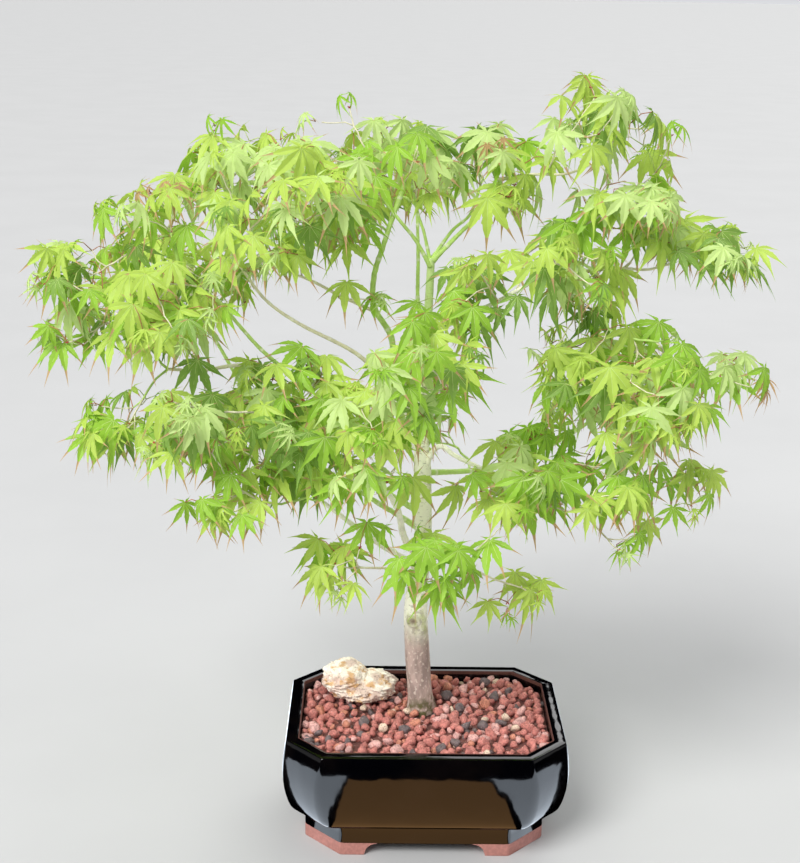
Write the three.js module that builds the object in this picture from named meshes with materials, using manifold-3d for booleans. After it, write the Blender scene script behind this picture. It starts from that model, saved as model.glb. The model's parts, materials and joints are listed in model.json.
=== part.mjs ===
// Bonsai Japanese maple in a black glazed pot, in millimetres, +Z up.
// The pot stands on z = 0 with its long side along X. The plant leans a little and has
// one trunk, tapering boughs, and a broad crown built from uneven masses of foliage.
import * as THREE from 'three';
import { mergeVertices } from 'three/addons/utils/BufferGeometryUtils.js';
import Module from 'manifold-3d';

const wasm = await Module();
wasm.setup();

// ---- driving dimensions ----
const GAP = 0.3;              // clearance kept between pieces that touch

const POT_WIDTH = 305;        // across the rim, along X
const POT_DEPTH = 229;        // across the rim, along Y
const POT_HEIGHT = 128;       // from the underside of the feet to the rim
const CORNER_CUT = 40;        // leg of each 45 degree cut corner
const RIM_WIDTH = 14;
const BELLY = 4;              // how far the wall swells past the rim
const CREASE_Z = 36;          // where the belly tucks in above the base band
const BAND_INSET = 20;        // the base band stands this far inside the rim
const FOOT_HEIGHT = 14;
const FOOT_RUN = 40;          // how far a foot runs along the front and side walls
const FOOT_DEPTH = 20;
const FLOOR_Z = 24;           // top of the pot's floor
const DRAIN_RADIUS = 10;
const DRAIN_SPACING = 110;

const SOIL_TOP = 120;
const SOIL_EDGE_DROP = 2;

const STONE_SIZE = [39, 28, 27];
const STONE_PLACE = [-76, 46];

const TRUNK_FLARE = 3;        // extra radius of the root flare
const TRUNK_FLARE_HEIGHT = 22;
const TRUNK_SIDES = 10;
const TRUNK_STEPS = 20;
const LIMB_SIDES = 6;
const LIMB_STEPS = 8;

const UNEVENNESS = 0.13;      // share of its radius by which a mass swells and dips
const SMALL_MASS = 46;        // masses narrower than this have coarser facets

// ---- limbs ----
// Each limb: its course, and its radii from its foot to its tip, spaced evenly along it.
// The last point of a bough lies a little inside the mass that it feeds.
const LIMBS = {
  trunk: {
    radius: [14.2, 13.8, 12.9, 9.4, 9.5, 7.8, 6.6, 4.8, 3.8],
    course: [[-3, 21, SOIL_TOP + GAP], [-9, 21, 185], [-12, 20, 250], [-6, 20, 315],
      [-7, 20, 380], [-10, 20, 445], [-11, 20, 510], [-6, 19, 575], [-4, 16, 641]],
  },
  bough_left_low: {
    radius: [3.6, 2.2],
    course: [[-12, 18, 295], [-37, -5, 319], [-70, -33, 352], [-116, -60, 398]],
  },
  bough_left_second: {
    radius: [4.2, 2.8],
    course: [[-12, 16, 309], [-26, -15, 339], [-36, -42, 384], [-54, -62, 420]],
  },
  bough_left_main: {
    radius: [5.6, 4.4],
    course: [[-12, 19, 435], [-25, 15, 456], [-34, 8, 476], [-45, 0, 506]],
  },
  bough_left_leader: {
    radius: [3.5, 2.4],
    course: [[-45, 0, 507], [-44, 0, 558], [-62, 5, 590], [-64, 10, 622],
      [-52, 10, 660], [-33, 10, 720]],
  },
  bough_left_long: {
    radius: [2.4, 1.3],
    course: [[-45, -2, 502], [-76, -14, 541], [-141, -30, 580], [-172, -38, 604], [-200, -46, 644]],
  },
  bough_left_upper: {
    radius: [1.8, 1.2],
    course: [[-61, 5, 585], [-102, -12, 607], [-130, -20, 623], [-185, -36, 646]],
  },
  bough_left_inner: {
    radius: [2.8, 2.4],
    course: [[-45, 0, 498], [-74, -12, 508], [-116, -25, 516]],
  },
  bough_left_outer: {
    radius: [2.4, 1.6],
    course: [[-126, -26, 516], [-150, -30, 528], [-178, -35, 552], [-222, -48, 608]],
  },
  bough_left_side: {
    radius: [2.4, 1.8],
    course: [[-160, -32, 534], [-200, -32, 535], [-243, -25, 527], [-276, -22, 527]],
  },
  bough_left_back: {
    radius: [3.2, 1.8],
    course: [[-12, 22, 358], [-90, 60, 393], [-180, 105, 433], [-255, 140, 538]],
  },
  bough_low_back: {
    radius: [3.2, 1.8],
    course: [[-10, 22, 338], [-60, 50, 360], [-110, 75, 383], [-170, 100, 408]],
  },
  bough_right_low: {
    radius: [3.0, 2.2],
    course: [[-6, 18, 410], [4, 10, 433], [12, 4, 439], [26, -6, 432], [54, -28, 424]],
  },
  bough_right_middle: {
    radius: [2.8, 1.8],
    course: [[-6, 18, 553], [19, 5, 574], [61, -18, 601], [96, -36, 626]],
  },
  bough_right_far: {
    radius: [1.8, 1.2],
    course: [[171, 0, 634], [195, 0, 636], [220, 0, 635], [246, 0, 642]],
  },
  bough_right_back: {
    radius: [3.2, 1.8],
    course: [[-6, 22, 403], [60, 60, 396], [140, 105, 410], [215, 140, 448]],
  },
  bough_fork_right: {
    radius: [2.4, 1.7],
    course: [[-3, 16, 640], [21, 22, 662], [43, 30, 684], [64, 38, 724]],
  },
  bough_fork_left: {
    radius: [2.1, 1.5],
    course: [[-5, 15, 634], [-21, 10, 661], [-37, 4, 681], [-58, 0, 708]],
  },
  bough_fork_back: {
    radius: [2.2, 1.6],
    course: [[-6, 22, 542], [-16, 42, 588], [-16, 66, 633], [-18, 110, 680]],
  },
  bough_front: {
    radius: [3.0, 2.0],
    course: [[-9, 18, 454], [-9, -30, 487], [-10, -60, 508], [-12, -110, 534]],
  },
};

// ---- foliage ----
// Each mass: its centre, its half sizes and how far its right end is turned up, in degrees.
const MASSES = {
  mass_top_left: { at: [-208, 20, 730], size: [68, 95, 50], lean: 8 },
  mass_top_left_front: { at: [-120, -90, 730], size: [66, 88, 52], lean: -5 },
  mass_top_centre: { at: [-35, 40, 740], size: [72, 95, 50], lean: 0 },
  mass_top_right_inner: { at: [62, 50, 743], size: [54, 75, 38], lean: -5 },
  mass_top_back: { at: [-60, 190, 698], size: [120, 75, 48], lean: 0 },
  mass_left_high: { at: [-285, -10, 684], size: [80, 105, 42], lean: 22 },
  mass_left_far_high: { at: [-368, -20, 633], size: [56, 72, 30], lean: 15 },
  mass_left_far_low: { at: [-375, 10, 563], size: [50, 70, 34], lean: 10 },
  mass_left_middle: { at: [-270, -70, 608], size: [74, 95, 52], lean: 5 },
  mass_left_inner: { at: [-172, -60, 670], size: [78, 70, 38], lean: -8 },
  mass_left_gap: { at: [-98, -40, 611], size: [44, 26, 14], lean: 0 },
  mass_left_back: { at: [-285, 150, 588], size: [100, 78, 62], lean: 0 },
  mass_left_low_far: { at: [-332, -10, 460], size: [58, 76, 38], lean: 20 },
  mass_left_low_middle: { at: [-235, -90, 488], size: [68, 88, 46], lean: 0 },
  mass_left_low_tips: { at: [-204, -110, 413], size: [48, 50, 38], lean: 0 },
  mass_left_low_inner: { at: [-145, -60, 478], size: [64, 80, 58], lean: 0 },
  mass_left_low_back: { at: [-215, 110, 423], size: [100, 80, 50], lean: 0 },
  mass_centre_left: { at: [-68, -110, 470], size: [52, 70, 68], lean: 0 },
  mass_centre_front: { at: [-15, -145, 560], size: [62, 62, 58], lean: 0 },
  mass_centre_high: { at: [38, -50, 614], size: [42, 52, 50], lean: -10 },
  mass_centre_back: { at: [-10, 185, 440], size: [68, 66, 70], lean: 0 },
  mass_low_left: { at: [-90, -72, 330], size: [40, 36, 36], lean: 0 },
  mass_low_front: { at: [0, -100, 346], size: [58, 60, 56], lean: 0 },
  mass_low_right_tips: { at: [92, -62, 298], size: [40, 36, 26], lean: 0 },
  mass_low_right: { at: [82, -70, 424], size: [60, 80, 48], lean: 0 },
  mass_right_top: { at: [158, 0, 780], size: [56, 85, 54], lean: -10 },
  mass_right_top_outer: { at: [220, 30, 750], size: [38, 52, 46], lean: 20 },
  mass_right_top_low: { at: [185, -20, 710], size: [68, 90, 34], lean: 0 },
  mass_right_high: { at: [122, -50, 646], size: [60, 84, 44], lean: 10 },
  mass_right_far_high: { at: [280, 0, 653], size: [76, 76, 30], lean: -3 },
  mass_right_inner: { at: [148, -20, 538], size: [48, 84, 70], lean: 0 },
  mass_right_large: { at: [222, -60, 516], size: [68, 100, 64], lean: 0 },
  mass_right_far: { at: [312, -20, 528], size: [48, 52, 32], lean: -15 },
  mass_right_low: { at: [175, -40, 416], size: [66, 88, 46], lean: 0 },
  mass_right_low_outer: { at: [280, 0, 400], size: [42, 56, 42], lean: 0 },
  mass_right_low_tips: { at: [195, -60, 360], size: [40, 42, 32], lean: -20 },
  mass_right_back: { at: [235, 150, 470], size: [95, 80, 66], lean: 0 },
};

// ---- finishes ----
const finish = (color, roughness, metalness = 0) =>
  () => new THREE.MeshStandardMaterial({ color, roughness, metalness });
const glaze = finish(0x0b0c10, 0.12);
const gravel = finish(0x94564c, 0.9);
const pale_stone = finish(0xd9cbb4, 0.85);
const bark = finish(0xa69c85, 0.8);
const leaf_tones = [0x8fc24a, 0x7db33c, 0xa3cf63, 0x6fa436].map((tone) => finish(tone, 0.6));

// ---- solids ----
function geometryOf(points, triangles) {
  const geometry = new THREE.BufferGeometry();
  geometry.setAttribute('position', new THREE.Float32BufferAttribute(points, 3));
  geometry.setIndex(triangles);
  return geometry;
}

function signedVolume(points, triangles) {
  const corner = (k) => new THREE.Vector3().fromArray(points, 3 * k);
  let volume = 0;
  for (let k = 0; k < triangles.length; k += 3) {
    const [a, b, c] = [0, 1, 2].map((n) => corner(triangles[k + n]));
    volume += a.dot(b.cross(c)) / 6;
  }
  return volume;
}

// A closed skin through rings of equal count, with a fan over the first and the last.
function skin(rings) {
  const count = rings[0].length;
  const last = rings.length - 1;
  const points = rings.flat().flatMap((p) => p.toArray());
  const triangles = [];
  for (let r = 0; r < last; r++) {
    for (let k = 0; k < count; k++) {
      const next = (k + 1) % count;
      const [a, b] = [r * count + k, r * count + next];
      const [c, d] = [a + count, b + count];
      triangles.push(a, b, d, a, d, c);
    }
  }
  for (const [r, flip] of [[0, true], [last, false]]) {
    const middle = new THREE.Vector3();
    rings[r].forEach((p) => middle.addScaledVector(p, 1 / count));
    const apex = points.length / 3;
    points.push(...middle.toArray());
    for (let k = 0; k < count; k++) {
      const [a, b] = [r * count + k, r * count + ((k + 1) % count)];
      triangles.push(apex, ...(flip ? [b, a] : [a, b]));
    }
  }
  if (signedVolume(points, triangles) < 0) triangles.reverse();
  return geometryOf(points, triangles);
}

function toSolid(geometry) {
  const plain = geometry.clone();
  for (const name of ['normal', 'uv']) plain.deleteAttribute(name);
  const merged = mergeVertices(plain, 1e-4);
  return new wasm.Manifold(new wasm.Mesh({
    numProp: 3,
    vertProperties: new Float32Array(merged.attributes.position.array),
    triVerts: new Uint32Array(merged.index.array),
  }));
}

function toGeometry(solid) {
  const mesh = solid.getMesh();
  return geometryOf(Array.from(mesh.vertProperties), Array.from(mesh.triVerts));
}

// ---- pot ----
// The pot's outline, inset all round: a rectangle with 45 degree cut corners.
function potOutline(inset, z, cut = CORNER_CUT) {
  const x = POT_WIDTH / 2 - inset;
  const y = POT_DEPTH / 2 - inset;
  const corners = [[x, y - cut], [x - cut, y], [cut - x, y], [-x, y - cut],
    [-x, cut - y], [cut - x, -y], [x - cut, -y], [x, cut - y]];
  return corners.map(([px, py]) => new THREE.Vector3(px, py, z));
}

function upright(radius, height, sides) {
  return new THREE.CylinderGeometry(radius, radius, height, sides).rotateX(Math.PI / 2);
}

// One foot follows a cut corner and a stretch of both walls; its ends are scooped out.
function foot(signX, signY) {
  const x = POT_WIDTH / 2 - BAND_INSET;
  const y = POT_DEPTH / 2 - BAND_INSET;
  const cut = CORNER_CUT;
  const turn = FOOT_DEPTH * (Math.SQRT2 - 1);
  const outline = [[x - cut - FOOT_RUN, y], [x - cut, y], [x, y - cut], [x, y - cut - FOOT_RUN],
    [x - FOOT_DEPTH, y - cut - FOOT_RUN], [x - FOOT_DEPTH, y - cut - turn],
    [x - cut - turn, y - FOOT_DEPTH], [x - cut - FOOT_RUN, y - FOOT_DEPTH]];
  const shape = new THREE.Shape(outline.map(([px, py]) => new THREE.Vector2(signX * px, signY * py)));
  const block = new THREE.ExtrudeGeometry(shape, { depth: FOOT_HEIGHT + 2, bevelEnabled: false });
  const scoop = new THREE.CylinderGeometry(FOOT_HEIGHT, FOOT_HEIGHT, 3 * FOOT_DEPTH, 20);
  const front = scoop.clone().translate(signX * (x - cut - FOOT_RUN), signY * y, 0);
  const side = scoop.clone().rotateZ(Math.PI / 2).translate(signX * x, signY * (y - cut - FOOT_RUN), 0);
  return toSolid(block).subtract(toSolid(front)).subtract(toSolid(side));
}

// The inner wall, from the floor up to the rim.
const cavity = [[RIM_WIDTH + 22, FLOOR_Z], [RIM_WIDTH + 16, FLOOR_Z + 10], [RIM_WIDTH + 6, 60],
  [RIM_WIDTH + 1, 108], [RIM_WIDTH, POT_HEIGHT]];
const cavityCut = (inset) => CORNER_CUT - inset * (2 - Math.SQRT2);

function pot() {
  const outside = [
    [BAND_INSET, FOOT_HEIGHT], [BAND_INSET, CREASE_Z], [9, CREASE_Z + 3], [3, CREASE_Z + 10],
    [-1.5, CREASE_Z + 26], [-BELLY, 90], [-2.5, 112], [0, POT_HEIGHT],
  ];
  const inside = [...cavity].reverse();
  const rings = [
    ...outside.map(([inset, z]) => potOutline(inset, z)),
    ...inside.map(([inset, z]) => potOutline(inset, z, cavityCut(inset))),
  ];
  let body = toSolid(skin(rings));
  for (const signX of [-1, 1]) {
    for (const signY of [-1, 1]) body = body.add(foot(signX, signY));
    const drain = upright(DRAIN_RADIUS, 4 * FLOOR_Z, 20).translate(signX * DRAIN_SPACING / 2, 0, 0);
    body = body.subtract(toSolid(drain));
  }
  return toGeometry(body);
}

// ---- soil and stone ----
function soil() {
  const buried = cavity.slice(0, -1).map(([inset, z]) => [inset + 2 * GAP, z + GAP]);
  const top = [[RIM_WIDTH + 1 + 2 * GAP, SOIL_TOP - SOIL_EDGE_DROP], [RIM_WIDTH + 8, SOIL_TOP]];
  return skin([...buried, ...top].map(([inset, z]) => potOutline(inset, z, cavityCut(inset))));
}

// Smooth unevenness of a lump: about -1 to 1, different for each seed.
function unevenness(direction, seed) {
  const { x, y, z } = direction;
  return 0.5 * Math.sin(3.1 * x + 1.7 * seed) * Math.cos(2.7 * y - 2.3 * seed)
    + 0.35 * Math.sin(4.3 * z + 2.9 * x + 0.9 * seed)
    + 0.3 * Math.cos(5.2 * y + 3.7 * z - 1.3 * seed);
}

function ball(detail) {
  const sphere = new THREE.IcosahedronGeometry(1, detail);
  for (const name of ['normal', 'uv']) sphere.deleteAttribute(name);
  return mergeVertices(sphere, 1e-4);
}

function eachPoint(geometry, move) {
  const place = geometry.attributes.position;
  const p = new THREE.Vector3();
  for (let k = 0; k < place.count; k++) {
    p.fromBufferAttribute(place, k);
    move(p);
    place.setXYZ(k, p.x, p.y, p.z);
  }
  return geometry;
}

// A rough lump that lies on the gravel, cut flat where it rests.
function stone() {
  const half = new THREE.Vector3(...STONE_SIZE);
  const rest = SOIL_TOP + GAP;
  return eachPoint(ball(2), (p) => {
    const swell = 1 + 0.16 * unevenness(p.clone().multiplyScalar(1.6), 5);
    p.multiply(half).multiplyScalar(swell);
    p.add(new THREE.Vector3(...STONE_PLACE, rest + 0.55 * half.z));
    p.z = Math.max(p.z, rest);
  });
}

// ---- trunk and boughs ----
function radiusAt(radii, share) {
  const place = share * (radii.length - 1);
  const k = Math.min(Math.floor(place), radii.length - 2);
  return THREE.MathUtils.lerp(radii[k], radii[k + 1], place - k);
}

function limbSolid(name, grow) {
  const { course, radius } = LIMBS[name];
  const curve = new THREE.CatmullRomCurve3(course.map((p) => new THREE.Vector3(...p)), false, 'centripetal');
  const isTrunk = name === 'trunk';
  const steps = isTrunk ? TRUNK_STEPS : LIMB_STEPS;
  const sides = isTrunk ? TRUNK_SIDES : LIMB_SIDES;
  const frames = curve.computeFrenetFrames(steps);
  const base = course[0][2];
  const rings = [];
  for (let s = 0; s <= steps; s++) {
    const centre = curve.getPointAt(s / steps);
    const flare = isTrunk ? TRUNK_FLARE * Math.max(0, 1 - (centre.z - base) / TRUNK_FLARE_HEIGHT) ** 2 : 0;
    const girth = radiusAt(radius, s / steps) + flare + grow;
    const across = isTrunk ? new THREE.Vector3(1, 0, 0) : frames.normals[s];
    const beside = isTrunk ? new THREE.Vector3(0, 1, 0) : frames.binormals[s];
    const ring = [];
    for (let k = 0; k < sides; k++) {
      const turn = 2 * Math.PI * k / sides;
      ring.push(centre.clone()
        .addScaledVector(across, girth * Math.cos(turn))
        .addScaledVector(beside, girth * Math.sin(turn)));
    }
    rings.push(ring);
  }
  return toSolid(skin(rings));
}

// ---- masses of foliage ----
function reach(mass, toward) {
  const lean = THREE.MathUtils.degToRad(mass.lean);
  const along = toward.clone().applyAxisAngle(new THREE.Vector3(0, 1, 0), lean);
  return 1 / along.divide(new THREE.Vector3(...mass.size)).length();
}

// Neighbouring masses share the space between them at a plane, in the ratio of their reach.
function boundaries(name) {
  const mass = MASSES[name];
  const centre = new THREE.Vector3(...mass.at);
  const planes = [];
  for (const [other, neighbour] of Object.entries(MASSES)) {
    if (other === name) continue;
    const toward = new THREE.Vector3(...neighbour.at).sub(centre);
    const distance = toward.length();
    toward.normalize();
    const mine = reach(mass, toward);
    const theirs = reach(neighbour, toward.clone().negate());
    planes.push({ toward, limit: distance * mine / (mine + theirs) - GAP });
  }
  return planes;
}

function foliage(name, seed, grow) {
  const mass = MASSES[name];
  const half = new THREE.Vector3(...mass.size);
  const centre = new THREE.Vector3(...mass.at);
  const lean = THREE.MathUtils.degToRad(-mass.lean);
  const planes = boundaries(name);
  const detail = Math.max(...mass.size.filter((_, k) => k !== 1)) < SMALL_MASS ? 1 : 2;
  return eachPoint(ball(detail), (p) => {
    const swell = 1 + UNEVENNESS * unevenness(p, seed);
    p.multiply(half).multiplyScalar(swell).applyAxisAngle(new THREE.Vector3(0, 1, 0), lean);
    for (const { toward, limit } of planes) {
      const run = p.dot(toward);
      if (run > limit) p.multiplyScalar(limit / run);
    }
    p.setLength(p.length() + grow).add(centre);
  });
}

// ---- assembly ----
const plant = new THREE.Group();
plant.name = 'potted_japanese_maple';

function place(name, geometry, material) {
  const mesh = new THREE.Mesh(geometry, material());
  mesh.name = name;
  plant.add(mesh);
}

place('pot', pot(), glaze);
place('soil', soil(), gravel);
place('stone', stone(), pale_stone);

const massNames = Object.keys(MASSES);
massNames.forEach((name, k) => {
  place(name, foliage(name, k + 1, 0), leaf_tones[k % leaf_tones.length]);
});
// A limb stops short of the limbs placed before it and of every mass that it meets;
// its clear stretch between them is what remains.
const inTheWay = massNames.map((name, k) => toSolid(foliage(name, k + 1, 2 * GAP)));
for (const name of Object.keys(LIMBS)) {
  let solid = limbSolid(name, 0);
  for (const other of inTheWay) solid = solid.subtract(other);
  inTheWay.push(limbSolid(name, GAP));
  const pieces = solid.decompose().sort((a, b) => b.volume() - a.volume());
  place(name, toGeometry(pieces[0]), bark);
}

// The plant's own frame has its origin under the middle of the whole, where the feet stand.
const middle = new THREE.Box3().setFromObject(plant).getCenter(new THREE.Vector3());
plant.position.set(-middle.x, -middle.y, 0);

export default plant;
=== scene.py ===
"""The looks of a bonsai Japanese maple in a black glazed pot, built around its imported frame."""
import json
import math
import random

import bmesh
import bpy
import numpy as np
from bpy.props import FloatProperty, FloatVectorProperty, IntProperty, PointerProperty
from mathutils import Matrix, Vector, noise
from mathutils.bvhtree import BVHTree
from mathutils.kdtree import KDTree

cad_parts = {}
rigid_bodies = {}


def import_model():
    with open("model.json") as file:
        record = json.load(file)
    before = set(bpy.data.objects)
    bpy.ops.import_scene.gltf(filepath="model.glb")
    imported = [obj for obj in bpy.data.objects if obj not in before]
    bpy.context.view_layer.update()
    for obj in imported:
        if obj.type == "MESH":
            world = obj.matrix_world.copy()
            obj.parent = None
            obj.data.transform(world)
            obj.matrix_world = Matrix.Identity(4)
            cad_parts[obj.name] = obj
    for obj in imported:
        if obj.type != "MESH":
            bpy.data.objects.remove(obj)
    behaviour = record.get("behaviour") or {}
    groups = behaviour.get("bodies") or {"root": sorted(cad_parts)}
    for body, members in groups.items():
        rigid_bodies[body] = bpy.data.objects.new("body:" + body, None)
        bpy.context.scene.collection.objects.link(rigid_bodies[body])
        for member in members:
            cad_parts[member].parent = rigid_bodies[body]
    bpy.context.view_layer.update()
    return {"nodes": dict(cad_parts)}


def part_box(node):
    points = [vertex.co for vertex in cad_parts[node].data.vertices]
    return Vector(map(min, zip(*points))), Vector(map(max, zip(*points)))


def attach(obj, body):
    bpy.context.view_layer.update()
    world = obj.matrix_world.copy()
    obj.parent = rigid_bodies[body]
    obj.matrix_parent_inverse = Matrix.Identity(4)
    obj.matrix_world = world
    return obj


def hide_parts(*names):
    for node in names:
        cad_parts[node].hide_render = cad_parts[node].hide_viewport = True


bl_info = {
    "name": "Potted Bonsai Maple",
    "version": (1, 0, 0),
    "blender": (4, 5, 0),
    "location": "View3D > Sidebar > Maple",
    "description": "Models a bonsai Japanese maple in its glazed pot, leaf by leaf",
    "category": "Add Mesh",
}

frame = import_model()

MM = 0.001
UP = Vector((0, 0, 1))
POT_LOW, POT_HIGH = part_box("pot")
POT_MIDDLE = Vector(((POT_LOW.x + POT_HIGH.x) / 2, (POT_LOW.y + POT_HIGH.y) / 2, POT_LOW.z))
MASS_NAMES = sorted(name for name in frame["nodes"] if name.startswith("mass_"))

# ---- the pot, in millimetres from the middle of its underside ----
BELLY = 4                     # how far the wall swells past the rim
HALF_WIDTH = (POT_HIGH.x - POT_LOW.x) / 2 / MM - BELLY
HALF_DEPTH = (POT_HIGH.y - POT_LOW.y) / 2 / MM - BELLY
SOIL_Z = (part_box("soil")[1].z - POT_LOW.z) / MM
CORNER_CUT = 40
RIM_WIDTH = 14
FOOT_HEIGHT = 14
FOOT_RUN = 40
FOOT_DEPTH = 20
BAND_INSET = 20
FLOOR_Z = 24
DRAIN_RADIUS = 10
DRAIN_SPACING = 110
# inset from the rim's outline, height, and how round the corners are
POT_OUTSIDE = (
    (20.6, 14, 7), (20, 14.7, 7), (20, 25, 7), (20, 34.4, 7), (19.4, 35.7, 7.5), (16.5, 36.4, 8),
    (12.5, 37.3, 9.5), (9, 39.2, 11.5), (6, 42, 13.5), (3.4, 46, 15.5), (1.4, 51.5, 17),
    (-0.6, 59, 18), (-2.5, 69, 18), (-3.6, 80, 17), (-4, 90, 15.5), (-3.7, 99, 13), (-2.9, 108, 9.5),
    (-1.8, 116, 6), (-0.8, 122, 3.8), (-0.2, 125.4, 2.6), (0.3, 127.1, 2.2), (1.3, 128, 2),
)
POT_INSIDE = (
    (12.6, 128, 3), (13.6, 127.5, 3), (14, 126.6, 3), (14.3, 120, 3), (15, 108, 4), (20, 60, 5),
    (30, 34, 6), (36, 24, 6),
)
BED_RINGS = (
    (37, 24.4, 6), (31, 34.4, 6), (21, 60.4, 5), (16, 108, 4), (15.2, 116, 3),
)

# ---- the gravel ----
GRAIN_TONES = {"red": 64, "pink": 16, "orange": 8, "dark": 9, "cream": 3}     # shares
GRAIN_LAYERS = ((9.6, -4.2), (10.6, 0.4))     # spacing of grains, height over the soil
GRAIN_SHAPES = 14
GRAIN_TUMBLE = 0.7
TRUNK_ROOM = 16.5             # gravel keeps this far from the trunk's middle

# ---- limbs: tone of bark, radii from foot to tip, and course ----
LIMBS = {
    "trunk": (
        "old", (14.2, 13.8, 12.9, 9.4, 9.5, 7.8, 6.6, 4.8, 3.8),
        ((-3, 21, 116), (-9, 21, 185), (-12, 20, 250), (-6, 20, 315), (-7, 20, 380), (-10, 20, 445),
         (-11, 20, 510), (-6, 19, 575), (-4, 16, 641))),
    "bough_left_low": (
        "cream", (3.6, 2.2), ((-12, 18, 295), (-37, -5, 319), (-70, -33, 352), (-116, -60, 398))),
    "bough_left_second": (
        "cream", (4.2, 2.8), ((-12, 16, 309), (-26, -15, 339), (-36, -42, 384), (-54, -62, 420))),
    "bough_left_main": (
        "cream", (5.6, 4.4), ((-12, 19, 435), (-25, 15, 456), (-34, 8, 476), (-45, 0, 506))),
    "bough_left_leader": (
        "green", (3.5, 2.4), ((-45, 0, 503), (-44, 0, 558), (-62, 5, 590), (-64, 10, 622),
                              (-52, 10, 660), (-33, 10, 720))),
    "bough_left_long": (
        "tan", (2.4, 1.3), ((-45, -2, 502), (-76, -14, 541), (-141, -30, 580), (-172, -38, 604),
                            (-200, -46, 644))),
    "bough_left_upper": (
        "tan", (1.8, 1.2), ((-61, 5, 585), (-102, -12, 607), (-130, -20, 623), (-185, -36, 646))),
    "bough_left_inner": (
        "cream", (2.8, 2.4), ((-45, 0, 498), (-74, -12, 508), (-116, -25, 516), (-128, -26, 517))),
    "bough_left_outer": (
        "green", (2.4, 1.6), ((-126, -26, 516), (-150, -30, 528), (-178, -35, 552),
                              (-222, -48, 608))),
    "bough_left_side": (
        "tan", (2.2, 1.7), ((-158, -32, 533), (-200, -32, 535), (-243, -25, 527), (-276, -22, 527))),
    "bough_left_back": (
        "green", (3.2, 1.8), ((-12, 22, 358), (-90, 60, 393), (-180, 105, 433), (-255, 140, 538))),
    "bough_low_back": (
        "green", (3.2, 1.8), ((-10, 22, 338), (-60, 50, 360), (-110, 75, 383), (-170, 100, 408))),
    "bough_right_low": (
        "cream", (3.0, 2.2), ((-6, 18, 410), (4, 10, 433), (12, 4, 439), (26, -6, 432),
                              (54, -28, 424))),
    "bough_right_middle": (
        "cream", (2.8, 1.8), ((-6, 18, 553), (19, 5, 574), (61, -18, 601), (96, -36, 626))),
    "bough_right_far": (
        "tan", (1.8, 1.2), ((150, -2, 632), (171, 0, 634), (195, 0, 636), (220, 0, 635),
                            (246, 0, 642))),
    "bough_right_back": (
        "green", (3.2, 1.8), ((-6, 22, 403), (60, 60, 396), (140, 105, 410), (215, 140, 448))),
    "bough_fork_right": (
        "green", (2.6, 1.7), ((-3, 16, 638), (21, 22, 662), (43, 30, 684), (64, 38, 724))),
    "bough_fork_left": (
        "green", (2.2, 1.5), ((-5, 15, 632), (-21, 10, 661), (-37, 4, 681), (-58, 0, 708))),
    "bough_fork_back": (
        "green", (2.4, 1.6), ((-6, 22, 542), (-16, 42, 588), (-16, 66, 633), (-18, 110, 680))),
    "bough_front": (
        "cream", (3.0, 2.0), ((-9, 18, 454), (-9, -30, 487), (-10, -60, 508), (-12, -110, 534))),
}
# thinner limbs that only show here
SHOOTS = {
    "shoot_fork_second": (
        "green", (1.9, 1.3), ((-3, 19, 640), (18, 30, 668), (37, 45, 683), (50, 60, 720))),
    "shoot_fork_centre": (
        "green", (1.8, 1.2), ((-5, 16, 636), (-12, 20, 667), (-18, 25, 684), (-26, 30, 716))),
    "shoot_top_right": (
        "tan", (1.7, 1.1), ((64, 38, 720), (87, 30, 726), (104, 20, 729), (133, 5, 732),
                            (160, -5, 745))),
    "shoot_low_front": (
        "tan", (1.8, 1.1), ((-14, 12, 290), (-31, -10, 301), (-48, -30, 311), (-76, -56, 322))),
    "shoot_low_centre": (
        "tan", (1.7, 1.1), ((-8, 16, 330), (-4, -20, 346), (0, -60, 352), (4, -100, 350))),
    "shoot_low_right": (
        "tan", (1.3, 0.9), ((0, -62, 351), (30, -70, 338), (60, -66, 318), (96, -62, 304))),
}
# middles of the loose sprays that hang between the masses
SPRAYS = ((-114, -5, 680), (-78, -5, 677), (145, -5, 613), (179, -5, 619), (209, 0, 684),
          (243, 0, 679), (-177, -40, 532), (-126, -40, 531), (117, 10, 452), (104, -10, 420),
          (-177, -50, 429), (-140, -50, 423), (-115, -50, 430), (-303, -30, 562),
          (-264, -30, 560), (74, 20, 712), (-95, -45, 326))
SPRAY_REACH = 15
# ends of the young shoots that stand out above the crown
TIPS = ((-90, 0, 794), (-118, 0, 780), (236, 0, 772), (152, 0, 818), (-228, 10, 768), (300, 0, 668))
KNOT = (-15, 7, 233)          # the pruning scar on the trunk
# swollen joints of the trunk: height, swell, spread
JOINTS = ((407, 0.9, 12), (553, 0.5, 7), (448, 0.7, 9))


def at(x, y, z):
    """A place given in millimetres from the middle of the pot's underside."""
    return POT_MIDDLE + Vector((x, y, z)) * MM


def shade(red, green, blue):
    """A colour as a shader takes it, from the values 0 to 255 that a screen shows."""
    linear = [(c / 255) ** 2.2 for c in (red, green, blue)]
    return (*linear, 1.0)


def colour_setting(name, description, red, green, blue):
    return FloatVectorProperty(name=name, description=description, subtype="COLOR", size=4,
                               min=0, max=1, default=shade(red, green, blue))


def length_setting(name, description, millimetres):
    return FloatProperty(name=name, description=description, subtype="DISTANCE", unit="LENGTH",
                         min=0, default=millimetres * MM)


def share_setting(name, description, default):
    return FloatProperty(name=name, description=description, subtype="FACTOR",
                         min=0, max=1, default=default)


# ---- settings ----
class MaplePotSettings(bpy.types.PropertyGroup):
    glaze: colour_setting("Glaze", "Colour of the glossy glaze", 8, 8, 11)
    clay: colour_setting("Bare clay", "Colour of the unglazed feet", 178, 122, 112)
    lip: length_setting("Bare line", "Width of the unglazed line along the rim's inner edge", 1.3)


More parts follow.
